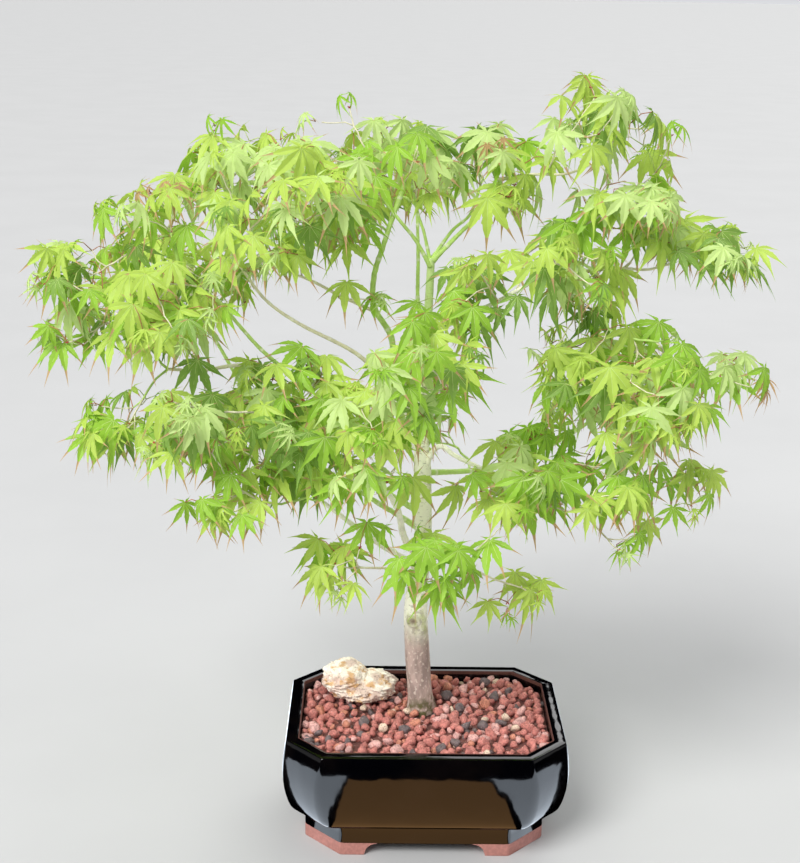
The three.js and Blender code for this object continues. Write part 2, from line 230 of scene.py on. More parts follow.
class MapleGravelSettings(bpy.types.PropertyGroup):
    red: colour_setting("Red", "Most of the lava grains", 204, 128, 118)
    pink: colour_setting("Pink", "Paler lava grains", 230, 176, 168)
    orange: colour_setting("Orange", "Brighter lava grains", 212, 140, 116)
    dark: colour_setting("Dark", "Dark grey lava grains", 118, 104, 104)
    cream: colour_setting("Cream", "Few pale grains", 232, 204, 180)
    grain: length_setting("Grain", "Usual width of a grain", 13.2)


class MapleStoneSettings(bpy.types.PropertyGroup):
    pale: colour_setting("Pale edges", "Worn edges of the stone", 250, 240, 222)
    pink: colour_setting("Porous face", "Pitted faces of the stone", 218, 194, 178)
    ochre: colour_setting("Ochre", "Stained hollows of the stone", 206, 158, 100)


class MapleWoodSettings(bpy.types.PropertyGroup):
    old: colour_setting("Old bark", "Foot of the trunk", 192, 168, 157)
    cream: colour_setting("Pale bark", "Upper trunk and older boughs", 252, 250, 226)
    green: colour_setting("Green bark", "Young boughs", 194, 226, 122)
    tan: colour_setting("Tan bark", "Thin boughs and twigs", 230, 222, 190)
    tip: length_setting("Twig tip", "Radius of the thinnest twigs", 0.62)
    relief: length_setting("Relief", "Height of the trunk's bark relief", 0.55)


class MapleLeafSettings(bpy.types.PropertyGroup):
    lime: colour_setting("Lime", "Bright leaves", 190, 217, 96)
    green: colour_setting("Green", "Mid green leaves", 158, 202, 70)
    pale: colour_setting("Pale", "Young, pale leaves", 202, 226, 142)
    # painted shade: the deep tone is a darker copy of the leaf greens for leaves in shade
    deep: colour_setting("Deep", "Shaded leaves", 136, 172, 78)
    bronze: colour_setting("Bronze", "Bronze leaves and leaf tips", 198, 164, 118)
    rib: colour_setting("Ribs", "Pale ribs of the lobes", 206, 228, 140)
    length: length_setting("Leaf length", "Length of the middle lobe of a grown leaf", 39)
    spacing: length_setting("Bud spacing", "Least distance between two leaf-bearing nodes", 34)
    seed: IntProperty(name="Seed", description="Seed of the branching rule", default=11, min=0)
    glow: share_setting("Light through", "Share of light that passes through a leaf", 0.34)


class MapleStageSettings(bpy.types.PropertyGroup):
    floor: colour_setting("Floor", "Plain pale floor", 180, 180, 179)
    air: share_setting("Soft light", "Strength of the light from all round", 0.82)


# ---- materials ----
class Wire:
    """One value in a material; sums written on it add the nodes for them."""

    def __init__(self, finish, socket):
        self.finish = finish
        self.socket = socket

    def _sum(self, operation, first, second):
        node = self.finish.node("ShaderNodeMath", {"operation": operation}, {0: first, 1: second})
        return Wire(self.finish, node.outputs[0])

    def __add__(self, other):
        return self._sum("ADD", self, other)

    def __radd__(self, other):
        return self._sum("ADD", other, self)

    def __sub__(self, other):
        return self._sum("SUBTRACT", self, other)

    def __rsub__(self, other):
        return self._sum("SUBTRACT", other, self)

    def __mul__(self, other):
        return self._sum("MULTIPLY", self, other)

    def __rmul__(self, other):
        return self._sum("MULTIPLY", other, self)


class Finish:
    """A material in the making."""

    def __init__(self, name):
        self.material = bpy.data.materials.new(name)
        self.material.use_nodes = True
        self.tree = self.material.node_tree
        self.tree.nodes.clear()
        self.place = self.node("ShaderNodeTexCoord").outputs["Object"]

    def node(self, kind, settings=None, values=None):
        """Adds a node of that kind, sets it up, then fills or links its sockets."""
        node = self.tree.nodes.new(kind)
        for key, value in (settings or {}).items():
            setattr(node, key, value)
        for key, value in (values or {}).items():
            source = value.socket if isinstance(value, Wire) else value
            if isinstance(source, bpy.types.NodeSocket):
                self.tree.links.new(source, node.inputs[key])
            else:
                node.inputs[key].default_value = source
        return node

    def cloud(self, scale, detail=3.0, stretch=None, roughness=0.55):
        """Soft noise from 0 to 1, of so many lumps to the metre."""
        place = self.place
        if stretch:
            place = self.node("ShaderNodeMapping", {}, {"Vector": place, "Scale": stretch}).outputs[0]
        values = {"Vector": place, "Scale": scale, "Detail": detail, "Roughness": roughness}
        return Wire(self, self.node("ShaderNodeTexNoise", {}, values).outputs["Fac"])

    def pits(self, scale):
        """Distance from the middle of the nearest of many scattered cells."""
        values = {"Vector": self.place, "Scale": scale}
        return Wire(self, self.node("ShaderNodeTexVoronoi", {}, values).outputs["Distance"])

    def band(self, value, low, high):
        """0 under low, 1 over high, smooth between them; low may be the larger."""
        settings = {"interpolation_type": "SMOOTHSTEP"}
        values = {"Value": value, "From Min": low, "From Max": high}
        return Wire(self, self.node("ShaderNodeMapRange", settings, values).outputs["Result"])

    def blend(self, share, first, second):
        node = self.node("ShaderNodeMix", {"data_type": "RGBA"}, {0: share, 6: first, 7: second})
        return Wire(self, node.outputs[2])

    def height(self):
        """How high the place is, in metres."""
        return Wire(self, self.node("ShaderNodeSeparateXYZ", {}, {0: self.place}).outputs["Z"])

    def mark(self, name):
        """A value that the piece carries at its own points."""
        node = self.node("ShaderNodeAttribute", {"attribute_name": name})
        return Wire(self, node.outputs["Fac"])

    def relief(self, height, strength, millimetres):
        values = {"Height": height, "Strength": strength, "Distance": millimetres * MM}
        return Wire(self, self.node("ShaderNodeBump", {}, values).outputs["Normal"])

    def skin(self, **values):
        """The plain surface shader; socket names are given with _ for a space."""
        sockets = {key.replace("_", " "): value for key, value in values.items()}
        return self.node("ShaderNodeBsdfPrincipled", {}, sockets).outputs[0]

    def done(self, shader):
        self.node("ShaderNodeOutputMaterial", {}, {"Surface": shader})
        return self.material


def darker(colour, share):
    return (*(c * share for c in colour[:3]), 1.0)


def glaze_finish(colour):
    finish = Finish("black_glaze")
    thin = finish.band(finish.cloud(16), 0.45, 0.75)
    tone = finish.blend(thin, tuple(colour), shade(18, 15, 15))
    waves = finish.cloud(26, 1.0) + finish.cloud(75, 1.0) * 0.12
    return finish.done(finish.skin(
        Base_Color=tone, Roughness=finish.cloud(90, 2.0) * 0.07 + 0.035,
        Normal=finish.relief(waves, 0.3, 3.0), IOR=1.52))


def clay_finish(name, colour):
    finish = Finish(name)
    spots = finish.band(finish.cloud(260), 0.35, 0.7)
    tone = finish.blend(spots, darker(colour, 0.8), tuple(colour))
    grain = finish.cloud(1500, 4.0) + finish.band(finish.pits(700), 0.1, 0.3) * 0.4
    return finish.done(finish.skin(
        Base_Color=tone, Roughness=0.88 - finish.cloud(300) * 0.15,
        Normal=finish.relief(grain, 0.5, 0.4)))


def lava_finish(name, colour):
    finish = Finish(name)
    patches = finish.band(finish.cloud(170), 0.32, 0.68)
    tone = finish.blend(patches, darker(colour, 0.62), tuple(colour))
    # the pits are sunk by the relief and coloured at a third: painted shade in the pores
    holes = finish.band(finish.pits(620), 0.12, 0.42)
    dusty = finish.blend(finish.band(finish.cloud(420, 4.0), 0.58, 0.8), tone, shade(214, 176, 164))
    tone_with_pit_shade = finish.blend(holes, darker(colour, 0.34), dusty)
    rough = holes * 0.8 + finish.cloud(900, 4.0) * 0.5
    return finish.done(finish.skin(
        Base_Color=tone_with_pit_shade, Roughness=0.92 - patches * 0.08, Normal=finish.relief(rough, 0.8, 0.7)))


def stone_finish(pale, pink, ochre):
    finish = Finish("pale_rock")
    faces = finish.band(finish.cloud(48, 5.0), 0.44, 0.58)
    stains = finish.band(finish.cloud(62, 3.0, (1.0, 1.0, 1.6)), 0.52, 0.64)
    tone = finish.blend(faces, tuple(pale), tuple(pink))
    tone = finish.blend(stains * 0.85, tone, tuple(ochre))
    holes = finish.band(finish.pits(330), 0.1, 0.36)
    specks = finish.band(finish.cloud(520, 2.0), 0.36, 0.27)
    # darker in the pits of the porous faces: painted shade in the pits
    tone = finish.blend((1 - holes) * faces * 0.5, tone, shade(128, 104, 92))
    tone = finish.blend(specks * 0.6, tone, shade(96, 84, 82))
    rough = finish.cloud(160, 6.0) + holes * 0.6 + finish.cloud(900, 3.0) * 0.25
    return finish.done(finish.skin(
        Base_Color=tone, Roughness=0.95 - faces * 0.1, Normal=finish.relief(rough, 0.9, 1.2)))


def trunk_finish(old, cream, green):
    finish = Finish("trunk_bark")
    height = finish.height() + (finish.cloud(36, 3.0) - 0.5) * 0.05
    young = finish.band(height, 0.192, 0.236)
    moss = finish.band(height, 0.150, 0.122)
    streaks = finish.cloud(95, 4.0, (1.0, 1.0, 0.28))
    foot = finish.blend(finish.band(streaks, 0.36, 0.62), darker(old, 0.56), tuple(old))
    flecks = finish.band(finish.cloud(300, 3.0, (1.0, 1.0, 0.7)), 0.57, 0.64)
    foot = finish.blend(flecks * 0.6, foot, shade(232, 216, 200))
    foot = finish.blend(moss * finish.band(finish.cloud(140), 0.3, 0.6), foot, shade(88, 84, 52))
    blotches = finish.cloud(70, 3.0, (1.0, 1.0, 0.6))
    top = finish.blend(finish.band(blotches, 0.5, 0.66), tuple(cream), shade(206, 212, 150))
    top = finish.blend(finish.band(finish.cloud(120, 4.0), 0.56, 0.7), top, shade(196, 190, 168))
    scars = finish.band(finish.cloud(260, 2.0, (0.6, 0.6, 2.4)), 0.6, 0.7)
    top = finish.blend(scars * 0.55, top, shade(120, 108, 92))
    fresh = finish.band(height, 0.47, 0.53) * finish.band(blotches, 0.66, 0.5)
    top = finish.blend(fresh * 0.75, top, tuple(green))
    tone = finish.blend(young, foot, top)
    tone = finish.blend(finish.mark("knot") * 0.85, tone, shade(112, 84, 64))
    rough = streaks * 1.2 + flecks * 0.5 + finish.cloud(800, 4.0) * 0.4 - scars * 0.4
    return finish.done(finish.skin(
        Base_Color=tone, Roughness=0.86 - young * 0.14, Normal=finish.relief(rough, 0.7, 0.6)))


def bough_finish(name, colour):
    finish = Finish(name)
    blotches = finish.band(finish.cloud(110, 3.0), 0.42, 0.66)
    tone = finish.blend(blotches * 0.8, tuple(colour), darker(colour, 0.8))
    specks = finish.band(finish.cloud(700, 2.0), 0.6, 0.7)
    tone = finish.blend(specks * 0.6, tone, shade(226, 222, 200))
    ring = finish.mark("ring")
    tone = finish.blend(ring * 0.8, tone, shade(240, 238, 218))
    rough = finish.cloud(420, 4.0) + ring * 0.6
    return finish.done(finish.skin(
        Base_Color=tone, Roughness=0.66 + blotches * 0.14, Normal=finish.relief(rough, 0.5, 0.3)))


def stem_finish(name, colour):
    finish = Finish(name)
    patches = finish.band(finish.cloud(70), 0.35, 0.65)
    tone = finish.blend(patches, tuple(colour), darker(colour, 0.72))
    return finish.done(finish.skin(
        Base_Color=tone, Roughness=0.6, Normal=finish.relief(finish.cloud(900, 2.0), 0.3, 0.15)))


def leaf_finish(name, colour, glow):
    finish = Finish(name)
    drift = finish.band(finish.cloud(38, 2.0), 0.35, 0.65)
    tone = finish.blend(drift, darker(colour, 0.86), tuple(colour))
    skin = finish.skin(Base_Color=tone, Roughness=0.5, IOR=1.4,
                       Normal=finish.relief(finish.cloud(420, 3.0), 0.35, 0.35))
    through = finish.node("ShaderNodeBsdfTranslucent", {}, {"Color": darker(colour, 0.93)}).outputs[0]
    mixed = finish.node("ShaderNodeMixShader", {}, {0: glow, 1: skin, 2: through}).outputs[0]
    return finish.done(mixed)


def floor_finish(colour):
    finish = Finish("pale_floor")
    tone = finish.blend(finish.band(finish.cloud(3.0), 0.3, 0.7), tuple(colour), darker(colour, 0.97))
    return finish.done(finish.skin(Base_Color=tone, Roughness=0.7))


# ---- pieces ----
def add_piece(name, source, finish, replaced=(), smooth=False):
    """Makes a piece of the object from a bmesh or a mesh, and fixes it to the frame."""
    mesh = source
    if isinstance(source, bmesh.types.BMesh):
        mesh = bpy.data.meshes.new(name)
        source.to_mesh(mesh)
        source.free()
    if not len(mesh.polygons):
        raise RuntimeError(name + " came out empty")
    mesh.polygons.foreach_set("use_smooth", [smooth] * len(mesh.polygons))
    mesh.materials.append(finish)
    piece = bpy.data.objects.new(name, mesh)
    bpy.context.scene.collection.objects.link(piece)
    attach(piece, "root")
    if replaced:
        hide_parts(*replaced)
    return piece


class Shape:
    """A small mesh kept as arrays, to be repeated many times."""

    def __init__(self, bm):
        bm.verts.index_update()
        self.points = np.array([v.co[:] for v in bm.verts])
        self.corners = np.array([v.index for f in bm.faces for v in f.verts])
        self.sizes = np.array([len(f.verts) for f in bm.faces])
        bm.free()


def repeated(name, placings):
    """One mesh of many copies: each placing is a shape, its turning matrix and its place."""
    points = [shape.points @ np.array(turn).T + np.array(place) for shape, turn, place in placings]
    starts = np.cumsum([0] + [len(p) for p in points[:-1]])
    corners = np.concatenate([shape.corners + s for (shape, _, _), s in zip(placings, starts)])
    sizes = np.concatenate([shape.sizes for shape, _, _ in placings])
    mesh = bpy.data.meshes.new(name)
    points = np.concatenate(points)
    mesh.vertices.add(len(points))
    mesh.vertices.foreach_set("co", points.ravel())
    mesh.loops.add(len(corners))
    mesh.loops.foreach_set("vertex_index", corners)
    mesh.polygons.add(len(sizes))
    mesh.polygons.foreach_set("loop_start", np.concatenate([[0], np.cumsum(sizes)[:-1]]))
    mesh.update(calc_edges=True)
    mesh.validate()
    return mesh


def tube_bmesh(name, strands, resolution):
    """Round tubes along strands of (place, radius); resolution sets how many sides they have."""
    curve = bpy.data.curves.new(name, "CURVE")
    curve.dimensions = "3D"
    curve.bevel_depth = 1.0
    curve.bevel_resolution = resolution
    curve.use_fill_caps = True
    for strand in strands:
        line = curve.splines.new("POLY")
        line.points.add(len(strand) - 1)
        line.points.foreach_set("co", [c for place, _ in strand for c in (*place, 1.0)])
        line.points.foreach_set("radius", [radius for _, radius in strand])
    body = bpy.data.objects.new(name, curve)
    bpy.context.scene.collection.objects.link(body)
    graph = bpy.context.evaluated_depsgraph_get()
    mesh = bpy.data.meshes.new_from_object(body.evaluated_get(graph))
    bpy.data.objects.remove(body)
    bpy.data.curves.remove(curve)
    bm = bmesh.new()
    bm.from_mesh(mesh)
    bpy.data.meshes.remove(mesh)
    bmesh.ops.remove_doubles(bm, verts=bm.verts, dist=1e-7)
    return bm


def rounded(bm, geom, offset, segments, affect="EDGES"):
    bmesh.ops.bevel(bm, geom=geom, offset=offset, offset_type="OFFSET", segments=segments,
                    profile=0.5, affect=affect, material=-1)


def outline(bm, inset, z, roundness, cut=CORNER_CUT):
    """Edges of the pot's outline at one height: a rectangle with cut, rounded corners."""
    x = HALF_WIDTH - inset
    y = HALF_DEPTH - inset
    corners = ((x, y - cut), (x - cut, y), (cut - x, y), (-x, y - cut),
               (-x, cut - y), (cut - x, -y), (x - cut, -y), (x, cut - y))
    face = bm.faces.new([bm.verts.new(at(px, py, z)) for px, py in corners])
    slide = roundness * math.tan(math.pi / 8) * MM
    rounded(bm, list(face.verts), slide, 5, "VERTICES")
    bm.faces.ensure_lookup_table()
    face = bm.faces[-1]
    edges = list(face.edges)
    bmesh.ops.delete(bm, geom=[face], context="FACES_ONLY")
    return edges


def inner_cut(inset):
    """Leg of the corner cut where the wall keeps the same thickness all round."""
    return CORNER_CUT - inset * (2 - math.sqrt(2))


def bridge(bm, rings):
    for lower, upper in zip(rings, rings[1:]):
        bmesh.ops.bridge_loops(bm, edges=lower + upper)


def circle(bm, x, y, z, radius, sides=24):
    made = bmesh.ops.create_circle(bm, segments=sides, radius=radius * MM,
                                   matrix=Matrix.Translation(at(x, y, z)))
    return list({edge for vert in made["verts"] for edge in vert.link_edges})


def pot_body():
    bm = bmesh.new()
    rings = [outline(bm, inset, z, roundness) for inset, z, roundness in POT_OUTSIDE]
    rings += [outline(bm, inset, z, roundness, inner_cut(inset))
              for inset, z, roundness in POT_INSIDE]
    bridge(bm, rings)
    sides = (-DRAIN_SPACING / 2, DRAIN_SPACING / 2)
    lower = [circle(bm, x, 0, FOOT_HEIGHT, DRAIN_RADIUS) for x in sides]
    upper = [circle(bm, x, 0, FLOOR_Z, DRAIN_RADIUS) for x in sides]
    for low, high in zip(lower, upper):
        bridge(bm, [low, high])
    bmesh.ops.triangle_fill(bm, use_beauty=True, edges=rings[0] + lower[0] + lower[1])
    bmesh.ops.triangle_fill(bm, use_beauty=True, edges=rings[-1] + upper[0] + upper[1])
    bmesh.ops.recalc_face_normals(bm, faces=bm.faces)
    return bm


def pot_lip(width):
    """The bare line that runs along the rim's inner edge."""
    bm = bmesh.new()
    inner = RIM_WIDTH + 0.35
    outer = inner - width / MM
    section = ((outer, 127.2), (outer + 0.15, 128.2), (inner - 0.4, 128.15), (inner, 127.4),
               (inner + 0.1, 124.5), (outer + 0.4, 125.2))
    rings = [outline(bm, inset, z, 3, inner_cut(inset)) for inset, z in section]
    bridge(bm, rings + rings[:1])
    bmesh.ops.recalc_face_normals(bm, faces=bm.faces)
    return bm


def pot_feet():
    """Four corner feet; each follows both walls and has scooped ends."""
    x = HALF_WIDTH - BAND_INSET
    y = HALF_DEPTH - BAND_INSET
    turn = FOOT_DEPTH * (math.sqrt(2) - 1)
    steps = [FOOT_HEIGHT * k / 6 for k in range(7)]
    run = [(FOOT_RUN - d, math.sqrt(max(0.0, FOOT_HEIGHT ** 2 - d ** 2))) for d in steps]
    stations = [((x - CORNER_CUT - r, y), (x - CORNER_CUT - r, y - FOOT_DEPTH), low)
                for r, low in run]
    stations.append(((x - CORNER_CUT, y), (x - CORNER_CUT - turn, y - FOOT_DEPTH), 0))
    stations.append(((x, y - CORNER_CUT), (x - FOOT_DEPTH, y - CORNER_CUT - turn), 0))
    stations += [((x, y - CORNER_CUT - r), (x - FOOT_DEPTH, y - CORNER_CUT - r), low)
                 for r, low in reversed(run)]
    feet = bmesh.new()
    for sign_x in (-1, 1):
        for sign_y in (-1, 1):
            bm = bmesh.new()
            rings = []
            for outer, inner, low in stations:
                places = [(outer, 15), (outer, low), (inner, low), (inner, 15)]
                verts = [bm.verts.new(at(sign_x * p[0], sign_y * p[1], z)) for p, z in places]
                rings.append([bm.edges.new((verts[k - 1], verts[k])) for k in range(4)])
            bridge(bm, rings)
            bmesh.ops.edgeloop_fill(bm, edges=rings[0])
            bmesh.ops.edgeloop_fill(bm, edges=rings[-1])
            corners = [edge for station in (7, 8) for edge in rings[station][1:2]]
            rounded(bm, corners, 2.8 * MM, 4)
            rims = [e for e in bm.edges if all(v.co.z < POT_MIDDLE.z + 0.1 * MM for v in e.verts)
                    and len(e.link_faces) == 2 and e.calc_face_angle(0.0) > 1.0]
            rounded(bm, rims, 0.8 * MM, 2)
            bmesh.ops.recalc_face_normals(bm, faces=bm.faces)
            part = bpy.data.meshes.new("foot")
            bm.to_mesh(part)
            bm.free()
            feet.from_mesh(part)
            bpy.data.meshes.remove(part)
    return feet


def on_bed(x, y, margin):
    """True where a grain of gravel can lie inside the rim."""
    half_x = HALF_WIDTH - RIM_WIDTH - margin
    half_y = HALF_DEPTH - RIM_WIDTH - margin
    cut = inner_cut(RIM_WIDTH + margin)
    return abs(x) < half_x and abs(y) < half_y and abs(x) + abs(y) < half_x + half_y - cut


def gravel_bed():
    bm = bmesh.new()
    rings = [outline(bm, inset, z, roundness, inner_cut(inset)) for inset, z, roundness in BED_RINGS]
    bridge(bm, rings)
    bmesh.ops.edgeloop_fill(bm, edges=rings[0])
    top = bmesh.ops.edgeloop_fill(bm, edges=rings[-1])["faces"]
    split = bmesh.ops.triangulate(bm, faces=top)["faces"]
    edges = list({edge for face in split for edge in face.edges} - set(rings[-1]))
    bmesh.ops.subdivide_edges(bm, edges=edges, cuts=7, use_grid_fill=True)
    low = POT_MIDDLE.z + (BED_RINGS[-1][1] - 0.01) * MM
    for vert in bm.verts:
        if vert.co.z > low and not vert.is_boundary:
            vert.co.z += 1.2 * MM * noise.noise(vert.co * 160)
    bmesh.ops.recalc_face_normals(bm, faces=bm.faces)
    return bm


def grain_shapes(rng, count):
    """Rugged little lumps of lava, about 1 across."""
    shapes = []
    for _ in range(count):
        bm = bmesh.new()
        bmesh.ops.create_icosphere(bm, subdivisions=2, radius=0.5)
        shift = Vector([rng.uniform(-50, 50) for _ in range(3)])
        for vert in bm.verts:
            coarse = noise.noise(vert.co * 2.2 + shift)
            vert.co *= 1 + 0.32 * coarse + 0.16 * noise.noise(vert.co * 6 + shift)
        for _ in range(7):
            side = Vector([rng.gauss(0, 1) for _ in range(3)]).normalized()
            reach = rng.uniform(0.24, 0.36)
            for vert in bm.verts:
                over = vert.co.dot(side) - reach
                if over > 0:
                    vert.co -= side * over * 0.92
        shapes.append(Shape(bm))
    return shapes


def scatter(rng, tries, spacing, margin, free):
    """Places on the gravel bed at least spacing apart, where free says so."""
    places = np.zeros((tries, 2))
    count = 0
    for _ in range(tries):
        x = rng.uniform(-HALF_WIDTH, HALF_WIDTH)
        y = rng.uniform(-HALF_DEPTH, HALF_DEPTH)
        if not on_bed(x, y, margin) or not free(x, y):
            continue
        if count and (((places[:count] - (x, y)) ** 2).sum(1) < spacing ** 2).any():
            continue
        places[count] = (x, y)
        count += 1
    return places[:count]


STONE_LOW, STONE_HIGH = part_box("stone")
STONE_MIDDLE = (STONE_LOW + STONE_HIGH) / 2 - POT_MIDDLE
STONE_HALF = (STONE_HIGH - STONE_LOW) / 2


def rock():
    """A rugged pale stone of two lobes, the left one taller."""
    lobes = ((Vector((-0.34, 0.05, 0.10)), Vector((0.62, 0.92, 0.98))),
             (Vector((0.38, 0.0, -0.22)), Vector((0.60, 0.88, 0.74))),
             (Vector((0.05, -0.2, -0.35)), Vector((0.70, 0.75, 0.62))))
    bm = bmesh.new()
    bmesh.ops.create_icosphere(bm, subdivisions=6, radius=1.0)
    middle = POT_MIDDLE + STONE_MIDDLE
    floor = STONE_LOW.z - 3 * MM
    for vert in bm.verts:
        ray = vert.co.normalized()
        reach = 0.0
        for centre, half in lobes:
            d = Vector([ray[k] / half[k] for k in range(3)])
            c = Vector([centre[k] / half[k] for k in range(3)])
            a, b, e = d.dot(d), d.dot(c), c.dot(c) - 1
            root = b * b - a * e
            if root > 0:
                reach = max(reach, (b + math.sqrt(root)) / a)
        place = ray * reach
        near, far = noise.voronoi(place * 2.6)[0][:2]
        rugged = 0.10 * noise.noise(place * 2.3 + Vector((3, 1, 7))) - 0.10 * near
        rugged += 0.11 * (1 - 2 * abs(noise.noise(place * 4.2)))
        rugged += 0.055 * (1 - 2 * abs(noise.noise(place * 9.5)))
        rugged += 0.05 * min(0.3, far - near) + 0.026 * noise.noise(place * 24)
        place *= 1 + rugged
        vert.co = middle + Vector([place[k] * STONE_HALF[k] for k in range(3)])
        vert.co.z = max(vert.co.z, floor)
    bmesh.ops.recalc_face_normals(bm, faces=bm.faces)
    return bm


# ---- limbs ----
def course_points(course, step):
    """Places step millimetres or so apart along a smooth line through the course."""
    knots = [Vector(p) for p in course]
    knots = [2 * knots[0] - knots[1]] + knots + [2 * knots[-1] - knots[-2]]
    places = []
    for k in range(1, len(knots) - 2):
        p0, p1, p2, p3 = knots[k - 1:k + 3]
        t0, t1, t2 = ((b - a).length ** 0.5 for a, b in ((p0, p1), (p1, p2), (p2, p3)))
        m1 = ((p1 - p0) / t0 - (p2 - p0) / (t0 + t1) + (p2 - p1) / t1) * t1
        m2 = ((p2 - p1) / t1 - (p3 - p1) / (t1 + t2) + (p3 - p2) / t2) * t1
        count = max(2, round((p2 - p1).length / step))
        for n in range(count):
            s = n / count
            places.append((2 * s ** 3 - 3 * s ** 2 + 1) * p1 + (s ** 3 - 2 * s ** 2 + s) * m1
                          + (3 * s ** 2 - 2 * s ** 3) * p2 + (s ** 3 - s ** 2) * m2)
    places.append(knots[-2])
    return places


def radius_along(radii, share):
    place = min(share, 0.9999) * (len(radii) - 1)
    k = int(place)
    return radii[k] + (radii[k + 1] - radii[k]) * (place - k)


def limb_line(radii, course, step):
    """The limb's places and radii, in millimetres, with how far along it each lies."""
    places = course_points(course, step)
    runs = [0.0]
    for a, b in zip(places, places[1:]):
        runs.append(runs[-1] + (b - a).length)
    return places, [radius_along(radii, run / runs[-1]) for run in runs], runs


def finder(strand):
    """Finds the place of the strand that is nearest to a point."""
    line = KDTree(len(strand))
    for k, (place, _) in enumerate(strand):
        line.insert(place, k)
    line.balance()
    return line


def bell(value, spread):
    """1 where the value is 0, falling to nothing a few spreads away."""
    return math.exp(-(value / spread) ** 2)


def trunk_piece(settings):
    _, radii, course = LIMBS["trunk"]
    places, girths, _ = limb_line(radii, course, 1.6)
    strand = []
    for place, girth in zip(places, girths):
        above = place.z - SOIL_Z
        flare = 2.2 * max(0.0, 1 - max(above, 0) / 24) ** 2
        joint = sum(swell * bell(place.z - z, spread) for z, swell, spread in JOINTS)
        strand.append((at(*place), (girth + flare + joint) * MM))
    bm = tube_bmesh("trunk", [strand], 16)
    line = finder(strand)
    knot_middle = at(*KNOT)
    knot = bm.verts.layers.float.new("knot")
    bm.normal_update()
    moves = []
    for vert in bm.verts:
        centre = line.find(vert.co)[0]
        out = (vert.co - centre).normalized()
        turn = math.atan2(out.y, out.x)
        above = (vert.co.z - POT_MIDDLE.z) / MM - SOIL_Z
        waves = math.sin(4 * turn + 0.7) + 0.6 * math.sin(7 * turn)
        root = 0.9 * max(0.0, 1 - max(above, 0) / 34) ** 2 * waves
        slow = Vector((vert.co.x * 95, vert.co.y * 95, vert.co.z * 26))
        fine = Vector((vert.co.x * 420, vert.co.y * 420, vert.co.z * 170))
        lump = noise.noise(Vector((vert.co.x * 40, vert.co.y * 40, vert.co.z * 22)))
        youth = min(1.0, max(0.25, 1 - (above - 100) / 200))
        bark = noise.noise(slow) + 0.55 * noise.noise(fine)
        relief = settings.relief / MM * youth * bark + 0.5 * lump
        away = (vert.co - knot_middle).length / MM
        ring = 1.9 * bell(away - 5.4, 1.8) - bell(away, 2.8)
        swell = 1.3 * bell(away, 13)
        vert[knot] = min(1.0, bell(away, 4.2) + 0.4 * bell(away - 7.4, 1.2))
        moves.append((vert, out * (root + relief + ring + swell) * MM))
    for vert, move in moves:
        vert.co += move
    bmesh.ops.recalc_face_normals(bm, faces=bm.faces)
    return bm


def bough_piece(name, radii, course, rng):
    """A bough with its swollen collar, its raised leaf-scar rings and uneven bark."""
    places, girths, runs = limb_line(radii, course, 1.5)
    rings = []
    run = rng.uniform(14, 22)
    while run < runs[-1]:
        rings.append(run)
        run += rng.uniform(24, 46)
    strand = []
    marks = []
    for place, girth, run in zip(places, girths, runs):
        ring = sum(bell(run - r, 1.3) for r in rings)
        collar = 1 + 0.55 * math.exp(-run / 7)
        slow = place * 0.02
        sway = Vector((noise.noise(slow), noise.noise(slow + Vector((9, 9, 9))), 0)) * girth * 0.35
        strand.append((at(*(place + sway)), girth * collar * (1 + 0.14 * ring) * MM))
        marks.append(min(1.0, ring))
    bm = tube_bmesh(name, [strand], 4)
    line = finder(strand)
    mark = bm.verts.layers.float.new("ring")
    for vert in bm.verts:
        centre, k, _ = line.find(vert.co)
        vert[mark] = marks[k]
        vert.co += (vert.co - centre) * 0.16 * noise.noise(vert.co * 260)
    bmesh.ops.recalc_face_normals(bm, faces=bm.faces)
    return bm


# ---- the crown ----
TRUNK_COST = 0.055            # keeps most twigs off the trunk
FORK_POWER = 2.35
TWIG_MOST = 2.1 * MM          # the thickest twig
TWIG_GREEN = 1.15 * MM        # twigs thicker than this have green bark
HIGH_CROWN = 690              # leaves above this are paler, in millimetres: painted light high in the crown
LOW_CROWN = 450               # leaves below this are greener: painted shade low in the crown
LEAF_TRIES = 9                # ways to hold a leaf that are tried
SHY = 0.003                   # how far a leaf may stand out of the crown freely
FAR_OUT = 0.030               # a leaf further out than this is left off
BARE_TRUNK = 275              # no leaf hangs below this in front of the trunk


class Body:
    """The inside of some foliage solids of the frame."""

    def __init__(self, names):
        points, faces = [], []
        for name in names:
            mesh = frame["nodes"][name].data
            start = len(points)
            points += [v.co.copy() for v in mesh.vertices]
            faces += [[start + k for k in face.vertices] for face in mesh.polygons]
        self.tree = BVHTree.FromPolygons(points, faces)
        self.low = Vector([min(p[k] for p in points) for k in range(3)])
        self.high = Vector([max(p[k] for p in points) for k in range(3)])

    def depth(self, place):
        """How far inside a place is, in metres; less than 0 outside."""
        surface, normal, _, away = self.tree.find_nearest(place)
        return away if (place - surface).dot(normal) < 0 else -away


